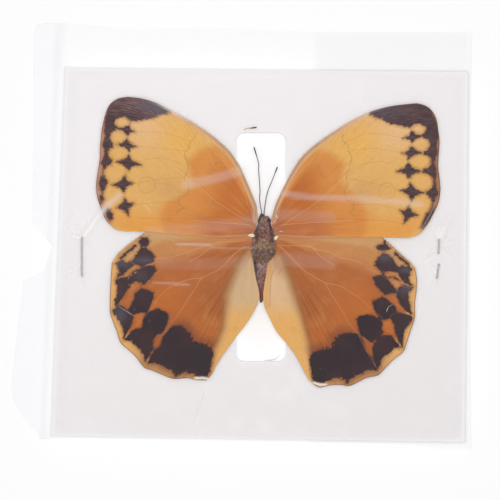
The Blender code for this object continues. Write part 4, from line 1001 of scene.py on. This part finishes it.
def frontHeight(x, y):
    # the solid film's height with softer shoulders: raised over the wings and thorax, low at the edges,
    # sloping to the table past the board's left side, drooping past its top, tented up to each staple,
    # with each crease a ridge that dies away from its first point
    left, right = boardSide(3, 0, y, 1), boardSide(1, 2, y, 1)
    top, bottom = boardSide(0, 1, x, 0), boardSide(2, 3, x, 0)
    fromEdge = np.minimum(np.minimum(x - left, right - x), np.minimum(top - y, y - bottom))
    ridge = fade(np.abs(y - 2), 14, 4)
    thorax = bell(x - bodyX, 5.5) * bell(y + 0.5, 9)
    (crownX, crownY), (clinchX, clinchY) = filmShape["crown"], filmShape["clinches"]
    crown = bell(x - crownX, 3.0) * bell(np.maximum(np.abs(y - crownY) - 6.0, 0), 1.6)
    ends = bell(x - clinchX, 3.0) * bell(np.maximum(np.abs(np.abs(y - clinchY) - 4.2) - 2.0, 0), 1.6)
    creased = sum(0.5 * height * bell(away, 1.3 * width) * np.exp(-1.1 * reach)
                  for away, reach, width, height, white in creaseLines(x, y))
    height = (sheetHeight + fade(fromEdge, 0.5, 10.5) * (filmShape["rise"] + foreLift * ridge + thorax)
              + 0.16 * np.maximum(crown, ends) + creased * fade(fromEdge, 0, 4)
              + 0.05 * np.sin(x * 0.24 + 0.6) * np.sin(y * 0.19 + 0.05 * x) * fade(fromEdge, 0, 12))
    drop = fade(x - left, -filmShape["slope"], -0.9)
    past = fade(y - top, 0.6, 16.6)
    free = 0.35 * past * (0.5 * np.sin(x * 0.07 + 2) + 0.3 * np.sin(x * 0.16 + 1))
    return sheetHalf + (height - sheetHalf) * drop * (1 - 0.5 * past) + free * drop


def whiteningAndGlare(x, y):
    # how much light the film scatters: little all over and more along creases, with bands of painted
    # reflection drawn as the same white
    total = np.full(x.shape, 0.002)
    for away, reach, width, height, white in creaseLines(x, y):
        total = np.maximum(total, white * bell(away, width) * (1 - 0.75 * fade(reach, 0, 1)))
    for line, width, haze in filmShape["glareBands"]:
        away = lineDistance(x, y, curveThrough(line, 5))
        total = np.maximum(total, 0.65 * haze * np.exp(-(away / width) ** 6))
    return total


def tinting(x, y):
    # beside the board the loose film looks faintly lilac
    left, top = boardSide(3, 0, y, 1), boardSide(0, 1, x, 0)
    return np.maximum(fade(x - left, 0.3, -0.3), 0.4 * fade(y - top, -0.3, 0.3))


def filmMaterial():
    # Clear polypropylene film: almost all light passes; a weak sharp mirror of the room grows at a
    # glance; creases scatter white, and the same white paints bands of reflection on it.
    finish, add = newMaterial("clear film")
    clear = add("BsdfTransparent", {}, {"Color": (0.9985, 0.9985, 0.999, 1)})
    mirror = add("BsdfGlossy", {}, {"Roughness": 0.09})
    facing = add("LayerWeight", {}, {"Blend": 0.5}, "Facing")
    glance = add("Math", timesPlus, {0: add("Math", power, {0: facing, 1: 5.0}), 1: 0.14, 2: 0.003})
    glass = add("MixShader", {}, {0: glance, 1: clear, 2: mirror})
    haze, tint = (add("Attribute", {"attribute_name": name}, output="Fac") for name in ("haze", "tint"))
    milkAndGlare = add("BsdfDiffuse", {}, {"Color": add("Mix", mixed, {0: tint, 6: "#fdfbfa", 7: "#ecedf5"}, 2)})
    film = add("MixShader", {}, {0: haze, 1: glass, 2: milkAndGlare})
    add("OutputMaterial", {}, {"Surface": film})
    return finish


def filmGrid():
    # columns of the front sheet from left to right, then round the fold and back along the flap; each
    # column runs between the film's lower and upper edge
    f, c = filmShape, filmShape["columns"]
    low, high = f["span"]
    rowShare = crowdedSteps(f["rows"], low, high, f["rowCrowds"])
    nominal = low + (high - low) * rowShare
    edge, right = along(f["left"], nominal), along(f["right"], nominal)
    side = boardSide(3, 0, nominal, 1)
    foot = np.maximum(side - f["slope"], edge + 0.8)
    start, stop = side - 0.9, right - f["fold"]
    x = np.vstack([edge + (foot - edge) * np.linspace(0, 1, c["margin"], endpoint=False)[:, None],
                   foot + (start - foot) * np.linspace(0, 1, c["slope"], endpoint=False)[:, None],
                   start + (stop - start) * crowdedSteps(c["face"], -60.0, 72.5, f["faceCrowds"])[:, None]])
    y = along(f["bottom"], x) * (1 - rowShare) + along(f["top"], x) * rowShare
    front = np.stack([x, y, frontHeight(x, y)], axis=2)
    # fold: half a superellipse between the front sheet and the flap
    middle, half = (front[-1, :, 2] + sheetHalf) / 2, (front[-1, :, 2] - sheetHalf) / 2
    turn = np.linspace(np.pi / 2, -np.pi / 2, c["fold"] + 1)[1:, None]
    out = f["fold"] * np.cos(turn) ** 0.55
    up = np.sign(np.sin(turn)) * np.abs(np.sin(turn)) ** 0.55
    fold = np.stack([stop + out, y[-1] + 0 * out, middle + half * up], axis=2)
    # flap: flat on the back, pressed in over the right staple's crown
    flapShare = crowdedSteps(c["flap"], 72.5, 22.0, f["flapCrowds"])[1:, None]
    flapX = stop + (along(f["flapEdge"], nominal) - stop) * flapShare
    flapY = along(f["flapBottom"], flapX) * (1 - rowShare) + along(f["top"], flapX) * rowShare
    crownX, crownY = f["clinches"]
    pressed = fade(np.abs(flapX - crownX), 2.6, 1.2) * fade(np.abs(flapY - crownY), 8.5, 7.3)
    return np.concatenate([front, fold, np.stack([flapX, flapY, sheetHalf + 0.8 * pressed], axis=2)])


def makeFilm():
    # the film as one closed sheet, hazed on its front alone, with scratches as thin threads on it
    grid = filmGrid()
    x, y = grid[..., 0], grid[..., 1]
    tint, haze = tinting(x, y), whiteningAndGlare(x, y)
    back = len(grid) - filmShape["columns"]["fold"] - filmShape["columns"]["flap"] + 1
    haze[back:] = tint[back:] = 0
    haze = haze + 0.07 * tint
    shapes = [closedSheet(grid, filmShape["thickness"])]
    hazeAndGlareLists, tints = [haze.ravel()] * 2, [tint.ravel()] * 2
    for start, stop, half in filmShape["scratches"]:
        line = np.linspace(start, stop, 14)
        top = frontHeight(line[:, 0], line[:, 1]) + filmShape["thickness"] / 2
        taper = np.sin(np.linspace(0.12, np.pi - 0.12, 14)) ** 0.5
        shapes.append(sweep(np.c_[line, top], roundSections(half * taper, 6, 0.35)))
        hazeAndGlareLists.append(np.full(len(shapes[-1][0]), 0.5))
        tints.append(np.zeros(len(shapes[-1][0])))
    makePiece("clear_film_wrap", joinShapes(shapes), filmMaterial(), ["film_wrap"],
              {"haze": np.concatenate(hazeAndGlareLists), "tint": np.concatenate(tints)})


makeFilm()
print("stage: film")


stapleShape = {"wire": 0.30, "leg": 6.15, "bend": 0.5, "clinch": 4.6, "low": 0.34,
               # middle x and y, height of the upper run, how far the bent ends and the whole crown lean
               "left": (-51.8, -6.7, 7.49, (-0.15, 0.15), 0.0), "right": (63.8, -7.35, 7.87, (0.4, 0.0), 0.33)}


def steelMaterial():
    # Galvanized staple wire: a dull zinc coat, half metal and half pale oxide, with fine drawing lines
    # along it and a soft broken highlight.
    finish, add = newMaterial("galvanized steel wire")
    place = add("TexCoord", output="Object")
    stretched = add("Mapping", {}, {"Vector": place, "Scale": (9000, 600, 9000)})  # drawing lines 0.1 mm apart
    drawn = add("TexNoise", {}, {"Vector": stretched, "Scale": 1, "Detail": 2})
    colour = coated(add, "#adadb2", (drawn, 0.3, 0.7, 1, "#d3d3d7"))
    rough = add("Math", timesPlus, {0: drawn, 1: 0.25, 2: 0.28})
    normal = add("Bump", {}, {"Height": drawn, "Distance": 0.02 * mm, "Strength": 0.3})
    wire = add("BsdfPrincipled", {}, {"Base Color": colour, "Metallic": 0.3, "Roughness": rough,
                                      "Normal": normal})
    add("OutputMaterial", {}, {"Surface": wire})
    return finish


def staplePath(x, y, crown, leg, sway, lean):
    # half a staple in (along, height): crown, bend, leg, bend, bent end; the other half mirrors it
    reach, bend = stapleShape["leg"], stapleShape["bend"]
    toward, straight = np.sign(leg - crown), reach - bend
    turn = np.linspace(0, np.pi / 2, 6)[:, None]
    upper = np.c_[straight + bend * np.sin(turn), crown + toward * bend * (1 - np.cos(turn))]
    lower = np.c_[straight + bend * np.cos(turn), leg - toward * bend * (1 - np.sin(turn))]
    start = np.c_[np.linspace(0, straight, 14)[:-1], np.full(13, crown)]
    shank = np.linspace(upper[-1], lower[0], 8)[1:-1]
    end = np.c_[np.linspace(straight, reach - stapleShape["clinch"], 12)[1:], np.full(11, leg)]
    half = np.vstack([start, upper, shank, lower, end])
    bent = np.r_[np.zeros(len(half) - 12), np.linspace(0, 1, 12) ** 1.5]
    run = np.r_[-half[:0:-1, 0], half[:, 0]]
    aside = np.r_[sway[0] * bent[:0:-1], sway[1] * bent]
    return np.c_[x + aside + lean * run / reach, y + run, np.r_[half[:0:-1, 1], half[:, 1]]]


def makeStaple(key):
    # round wire along its path, cut to a wedge at both ends
    x, y, high, sway, lean = stapleShape[key]
    crown, leg = (high, stapleShape["low"]) if key == "left" else (stapleShape["low"], high)
    path = staplePath(x, y, crown, leg, sway, lean)
    sections = roundSections(np.full(len(path), stapleShape["wire"]), 16)
    step = np.arange(len(path))
    sections[..., 1] *= np.clip(0.3 + np.minimum(step, step[::-1]) / 2.5, 0, 1)[:, None]
    makePiece(f"staple_{key}_wire", sweep(path, sections, np.array([1.0, 0, 0])), steel,
              [f"staple_{key}"])


steel = steelMaterial()
makeStaple("left")
makeStaple("right")
print("stage: staples")


bodyShape = {
    # y, centre x, half width, centre height over the board's face, rise, depth
    "stations": [(6.6, 7.4, 0.8, 0, 0.6, 0.9), (6.1, 7.4, 1.4, 0.05, 0.9, 1.3), (5.2, 7.4, 1.8, 0.1, 1.2, 1.7),
        (3.8, 7.4, 2, 0.2, 1.2, 1.9), (2, 7.35, 2.6, 0.35, 1.4, 2.6), (0, 7.2, 3.15, 0.4, 1.6, 3.2),
        (-3.2, 7.2, 3.35, 0.4, 1.6, 3.3), (-5.4, 7.1, 3.15, 0.3, 1.4, 2.8), (-6.7, 6.8, 2.7, 0.2, 1.1, 2.3),
        (-7.7, 6.4, 2.25, 0.2, 1, 2.2), (-9.7, 6.25, 2.1, 0.15, 0.9, 2.2), (-12, 6.25, 1.8, 0.05, 0.7, 1.9),
        (-15.5, 6.3, 1.1, -0.1, 0.5, 1.2), (-18.1, 6.55, 0.75, -0.2, 0.4, 0.8),
        (-20.4, 6.5, 0.5, -0.3, 0.3, 0.5), (-21.4, 6.3, 0.15, -0.3, 0.1, 0.2)],
    "rings": (-8.4, -10.1, -11.8, -13.4, -15.0, -16.6, -18.1, -19.4), "sides": 56, "steps": 12,
    "eyes": [(6.0, 5.0, 0.2), (8.8, 5.0, 0.2)], "eyeSize": 0.8, "hairs": 8500,
    # hair from tail to head: how dense it is and how long
    "density": [(-21.4, 0.5), (-9.0, 0.9), (-7.5, 1.1), (-5.0, 2.2), (0.0, 1.8), (3.0, 1.3), (6.6, 1.0)],
    "length": [(-21.4, 0.35), (-9.0, 0.8), (-7.0, 1.1), (-4.0, 1.4), (0.0, 1.2), (3.5, 0.7), (6.6, 0.45)],
    # dark lines between the thorax and the wing bases: painted shade of the grooves there
    "grooveShade": [[(5.9, 5.7), (5.1, 3.6), (4.8, 1.6), (5, -0.6)],
                [(8.9, 5.4), (9.5, 3), (9.8, 0.8), (9.9, -1.6)]],
    # flat cream pads of matted scales at the wing roots: middle line and half widths
    "padHeight": 0.75,
    "pads": [([(4.3, 0.05), (3.7, 0.25), (3.0, 0.3), (2.1, 0.2)], (0.20, 0.62, 0.50, 0.06)),
             ([(10.5, -0.95), (10.9, -0.7), (11.4, -0.35), (12.1, 0.0)], (0.20, 0.62, 0.42, 0.05)),
             ([(12.2, 1.4), (12.8, 1.6), (13.5, 1.5)], (0.03, 0.11, 0.03)),
             ([(11.2, 7.2), (11.4, 6.5), (11.7, 5.7)], (0.04, 0.15, 0.05))],
    "palps": [[(5.9, 6.0), (6.3, 6.9), (6.62, 7.5)], [(7.2, 6.2), (6.95, 6.8), (6.7, 7.4)]],
}


def bodySurface(station, angle):
    # ellipse sections: width across, rise above the middle and depth below it; rings pinch the abdomen and
    # small lumps break the thorax
    y, centre, half, middle, rise, depth = station.T
    pinch = sum(bell(y - r, 0.28) for r in bodyShape["rings"]) * 0.07
    thorax = fade(y, -7.5, -5.5) * fade(y, 6.5, 4.5)
    lump = 0.05 * thorax * np.sin(3 * angle + 1.7 * y) * np.sin(2.1 * y + 2 * angle)
    size = 1 - pinch + lump - 0.06 * fade(y, 3.2, 3.7) * fade(y, 4.6, 4.1)  # the last is the neck's groove
    up = np.sin(angle)
    return np.stack([centre + half * size * np.cos(angle), y,
                     boardFace + middle + np.where(up > 0, rise, depth) * size * up], axis=-1)


def bodyColour(x, y):
    # plum-brown head and thorax between painted groove shade, lilac-brown wing bases, tan and olive
    # tufts behind, grey-violet then maroon abdomen with a dark left side
    side = np.abs(x - 7.3)
    flecks = np.sin(5.1 * x + 3 * np.sin(2.3 * y)) * np.sin(4.3 * y + 2 * np.sin(1.9 * x))
    return layered(
        "#8c6d62",
        ("#927770", 0.9 * fade(y, 0.8, 3.3) * fade(side, 1.7, 0.5)),
        ("#7c5148", 0.7 * bell(y - 0.2, 1.6) * fade(side, 2.2, 1.0)),
        ("#8d7870", 0.8 * bell(y + 3.6, 2.0)),
        ("#b39259", 0.9 * bell(y + 3.2, 1.5) * fade(side, 3.3, 2.3) * fade(flecks, -0.3, 0.5)),
        ("#a07c6e", 0.75 * fade(side, 2.1, 3.0) * fade(y, -7.5, -6.0)),
        ("#88716a", 0.8 * bell(y + 5.6, 1.0)),
        ("#9c8160", 0.8 * bell(y + 7.3, 0.8)),
        ("#a3857e", 0.95 * fade(y, -8, -9)),
        ("#8f6b5d", 0.85 * fade(y, -11, -13.5)),
        ("#75443b", 0.85 * fade(y, -15, -19)),
        ("#4f4248", 0.8 * fade(y, -7.5, -8.5) * fade((5.45 - x) / 0.7 - (y + 12) / 14, 0, 1)),
        *[("#3d2f30", 0.85 * bell(lineDistance(x, y, curveThrough(line, 4)), 0.42))
          for line in bodyShape["grooveShade"]])


def bodyMaterial():
    # Butterfly body: soft hair and scales over brown horn. The eye gets a dull, furred surface whose
    # colour changes from hair to hair; the eyes are smooth and darker.
    finish, add = newMaterial("body scales and hair")
    rough, matted = (add("Attribute", {"attribute_name": name}, output="Fac") for name in ("rough", "matted"))
    colour = add("Attribute", {"attribute_name": "wash"}, output="Color")
    place = add("TexCoord", output="Object")
    # matted tufts of about 0.8 mm
    stretched = add("Mapping", {}, {"Vector": place, "Scale": (1.3 / mm, 0.9 / mm, 1.3 / mm)})
    tuft = add("TexNoise", {}, {"Vector": stretched, "Scale": 1, "Detail": 3, "Roughness": 0.65})
    shade = coated(add, "#7d7570", (tuft, 0.38, 0.62, 1, "#ffffff"))
    colour = add("Mix", stained, {0: matted, 6: colour, 7: shade}, 2)
    normal = add("Bump", {}, {"Height": tuft, "Distance": 0.12 * mm, "Strength": 0.5})
    fur = add("BsdfPrincipled", {}, {"Base Color": colour, "Roughness": rough, "Specular IOR Level": 0.2,
                                     "Sheen Weight": 0.08, "Normal": normal})
    add("OutputMaterial", {}, {"Surface": fur})
    return finish


def ballShape(centre, radius, rows=18, sides=28):
    # a ball from the top pole to the bottom pole
    fall = np.linspace(0, np.pi, rows + 2)[1:-1, None]
    angle = np.arange(sides) * 2 * np.pi / sides
    ring = np.stack([np.sin(fall) * np.cos(angle), np.sin(fall) * np.sin(angle), np.cos(fall) + 0 * angle], 2)
    places, quads, tips = tubeShape(ring, [(0, 0, 1), (0, 0, -1)])
    return places * radius + centre, quads, tips


def bladeShape(root, way, normal, length, width):
    # thin pyramids: a small three-sided foot just under the skin and a tip one length along the way
    across = unit(np.cross(way, normal))
    base = root - normal * 0.05
    tip = root + way * length[:, None]
    # the film lies on the thorax, so no hair stands above it
    tip[:, 2] = np.minimum(tip[:, 2], boardFace + 2.05)
    places = np.stack([base + across * width, base - across * width, base + normal * width * 0.9, tip], axis=1)
    start = np.arange(len(root))[:, None, None] * 4
    faces = (np.array([(0, 1, 3), (1, 2, 3), (2, 0, 3), (0, 2, 1)]) + start).reshape(-1, 3)
    return places.reshape(-1, 3), np.zeros((0, 4), int), faces


def hairCoat(stations, random):
    # hair rooted on the skin, combed back and outwards, densest and longest behind the wings
    count = bodyShape["hairs"]
    weight = np.cumsum(along(bodyShape["density"], stations[:, 0]))
    pick = np.searchsorted(weight / weight[-1], random.random(count)).clip(1, len(stations) - 2)
    angle = random.uniform(-0.35, np.pi + 0.35, count)
    root = bodySurface(stations[pick], angle)
    onwards = bodySurface(stations[pick + 1], angle) - root
    normal = unit(np.cross(bodySurface(stations[pick], angle + 0.04) - root, onwards))
    outward = root - np.c_[stations[pick, 1], stations[pick, 0], boardFace + stations[pick, 3]]
    normal *= np.sign((normal * outward).sum(axis=1, keepdims=True))
    x, y, z = root.T
    # hair that grows from the sides spreads out over the wing roots
    spread = np.sign(np.cos(angle)) * np.abs(np.cos(angle)) ** 3 * (0.45 + 0.55 * fade(y, -8, -6))
    way = (unit(onwards) + normal * random.uniform(0.12, 0.4, count)[:, None]
           + random.normal(0, 0.45, (count, 3)) * (1, 1, 0.4))
    way[:, 0] += 0.9 * spread
    way[:, 2] += 0.35 * np.abs(spread)
    width = random.uniform(0.06, 0.13, count)[:, None]
    length = along(bodyShape["length"], y) * random.uniform(0.5, 1.1, count)
    # matted clumps of about a millimetre are lighter and darker than their neighbours
    clump = np.sin(x * 5.3 + 1.4 * np.sin(y * 3.1)) * np.sin(y * 6.1 + 1.7 * np.sin(x * 2.3))
    shade = (0.80 + 0.5 * random.random(count) ** 1.4) * (1 + 0.36 * clump)
    return bladeShape(root, unit(way), normal, length, width), np.repeat(shade, 4)


def makeBody():
    # skin, eyes, feelers by the mouth, hair and pads as one mesh, each kind with its own looks
    b = bodyShape
    stations = curveThrough(b["stations"], b["steps"])
    angles = np.arange(b["sides"]) * 2 * np.pi / b["sides"]
    rings = np.stack([bodySurface(stations, angle) for angle in angles], axis=1)
    skin = tubeShape(rings, rings[[0, -1]].mean(axis=1))
    eyes = [ballShape((x, y, boardFace + z), b["eyeSize"]) for x, y, z in b["eyes"]]
    palps, pads = [], []
    for line in b["palps"]:
        path = curveThrough(line, 5)
        radii = np.linspace(0.34, 0.16, len(path))
        palps.append(sweep(np.c_[path, np.full(len(path), boardFace + 0.35)], roundSections(radii, 10)))
    for line, widths in b["pads"]:
        path = curveThrough(line, 6)
        half = np.interp(np.linspace(0, 1, len(path)), np.linspace(0, 1, len(widths)), widths)
        path = np.c_[path, np.full(len(path), sheetHeight + b["padHeight"])]
        pads.append(sweep(path, roundSections(half, 12, 0.3)))
    hair, shade = hairCoat(stations, np.random.default_rng(7))
    kinds = [[skin], eyes, palps, [hair], pads]
    shape = joinShapes(sum(kinds, []))
    kind = np.repeat(np.arange(5), [sum(len(one[0]) for one in some) for some in kinds])
    x, y = shape[0][:, 0], shape[0][:, 1]
    # hair shades itself, so its colours are set lighter than they should look
    colour = bodyColour(x, y) * (1.34, 1.28, 1.30) * (1 + 0.14 * fade(y, -7.5, -6.0))[:, None]
    colour[kind == 3] *= shade[:, None]
    for index, code in ((1, "#3a2e2d"), (2, "#4a3d3c"), (4, "#f6e2c8")):
        colour[kind == index] = hexToLinear(code)
    makePiece("body_haired", shape, bodyMaterial(), ["butterfly_body"],
              {"wash": np.clip(colour, 0, 1), "rough": np.where(kind == 1, 0.3, 0.85),
               "matted": np.where(kind == 4, 0.25, 0.6)})


makeBody()
print("stage: body")


hornShape = {
    "antennae": {"left": [(6.6, 6.6), (6.55, 7.6), (5.9, 11.8), (6, 15), (5.6, 21), (5.5, 23.9), (4, 29.1)],
                 "right": [(7.3, 6.6), (7.35, 7.8), (7.9, 11.8), (8.7, 15), (10.2, 18.7), (11.7, 22.6)]},
    "antennaSize": 0.17, "segment": 0.55, "sides": 12, "roundEnd": (0.95, 0.85, 0.65, 0.35),
    "tip": [(0.85, 34.35), (1.25, 34.85), (2.0, 35.1), (3.0, 35.1), (4.0, 35.25), (4.95, 35.4)],
    # knee, ankle and foot of each leg: distance from the body's axis, y, height over the board's back
    "legs": {"mid": [(2.0, -1.5, 2.0), (5.3, 1.2, 2.2), (5.2, -6.0, 1.2), (4.6, -11.0, 0.6)],
             "hind": [(1.6, -4.6, 2.0), (3.4, -9.2, 2.1), (2.6, -14.8, 1.1), (1.8, -18.6, 0.6)]},
}


def hornMaterial():
    # Insect horn: thin, dark brown and dully glossy, ringed with short pale scales at each joint.
    finish, add = newMaterial("insect horn")
    colour = add("Attribute", {"attribute_name": "wash"}, output="Color")
    grit = add("TexNoise", {}, {"Vector": add("TexCoord", output="Object"), "Scale": 4 / mm, "Detail": 2})
    normal = add("Bump", {}, {"Height": grit, "Distance": 0.02 * mm, "Strength": 0.4})
    shell = add("BsdfPrincipled", {}, {"Base Color": colour, "Roughness": 0.42, "Normal": normal})
    add("OutputMaterial", {}, {"Surface": shell})
    return finish


def makeHorn(node, path, radii, segment, depth, colour):
    # a tube whose radius dips a little at the end of every segment
    sides = hornShape["sides"]
    dip = 1 - depth * np.abs(np.cos(np.pi * runAlong(path) / segment)) ** 6
    makePiece(node + "_jointed", sweep(path, roundSections(radii * dip, sides)), horn, [node],
              {"wash": np.vstack([np.repeat(colour, sides, axis=0), colour[[0, -1]]])})


def makeAntenna(side):
    # thick at its root and towards its tip, with pale rings between the segments
    plan = evenSteps(curveThrough(hornShape["antennae"][side], 10), 180)
    path = np.c_[plan, boardFace + 0.45 - 0.25 * fade(plan[:, 1], 7.6, 6.6)]
    at = np.linspace(0, 1, len(path))
    thicker = 0.45 * fade(at, 0.82, 0.94) + 0.9 * fade(at, 0.035, 0.005)
    radii = hornShape["antennaSize"] * (1 - 0.12 * at + thicker)
    radii[-4:] *= hornShape["roundEnd"]
    pale = np.abs(np.cos(np.pi * runAlong(path) / hornShape["segment"])) ** 4
    colour = layered("#48424a", ("#8d8a90", 0.55 * pale), ("#3a3234", 0.8 * fade(at, 0.85, 0.95)))
    makeHorn(f"antenna_{side}", path, radii, hornShape["segment"], 0.16, colour)


def makeBrokenTip():
    # pale and thin where it broke off, dark and thick at its end
    plan = evenSteps(curveThrough(hornShape["tip"], 8), 60)
    at = np.linspace(0, 1, len(plan))
    radii = 0.10 + 0.13 * fade(at, 0.25, 0.75)
    radii[-4:] *= hornShape["roundEnd"]
    makeHorn("broken_tip", np.c_[plan, boardFace + 0.58 + 0.04 * np.sin(at * 5)], radii, 0.4, 0.12,
             layered("#c99a72", ("#4c3630", fade(at, 0.35, 0.75))))


def makeLeg(pair, side):
    # a thinning tube with a thicker knee and ankle, from just inside the solid's root
    node = f"leg_{pair}_{side}"
    sign = -1 if side == "left" else 1
    route = [[bodyX + sign * x, y, boardBack + z] for x, y, z in hornShape["legs"][pair]]
    route[0][2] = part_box(node)[1][2] / mm - 0.25
    path = evenSteps(curveThrough(route, 16), 120)
    at = np.linspace(0, 1, len(path))
    radii = 0.22 * (1.1 - 0.6 * at) * (1 + 0.25 * bell(at - 0.33, 0.03) + 0.3 * bell(at - 0.68, 0.03))
    makeHorn(node, path, radii, 0.9, 0.08, layered("#5a463c", ("#3a2c28", at)))


horn = hornMaterial()
for side in ("left", "right"):
    makeAntenna(side)
    makeLeg("mid", side)
    makeLeg("hind", side)
makeBrokenTip()
print("stage: antennae, broken tip and legs")
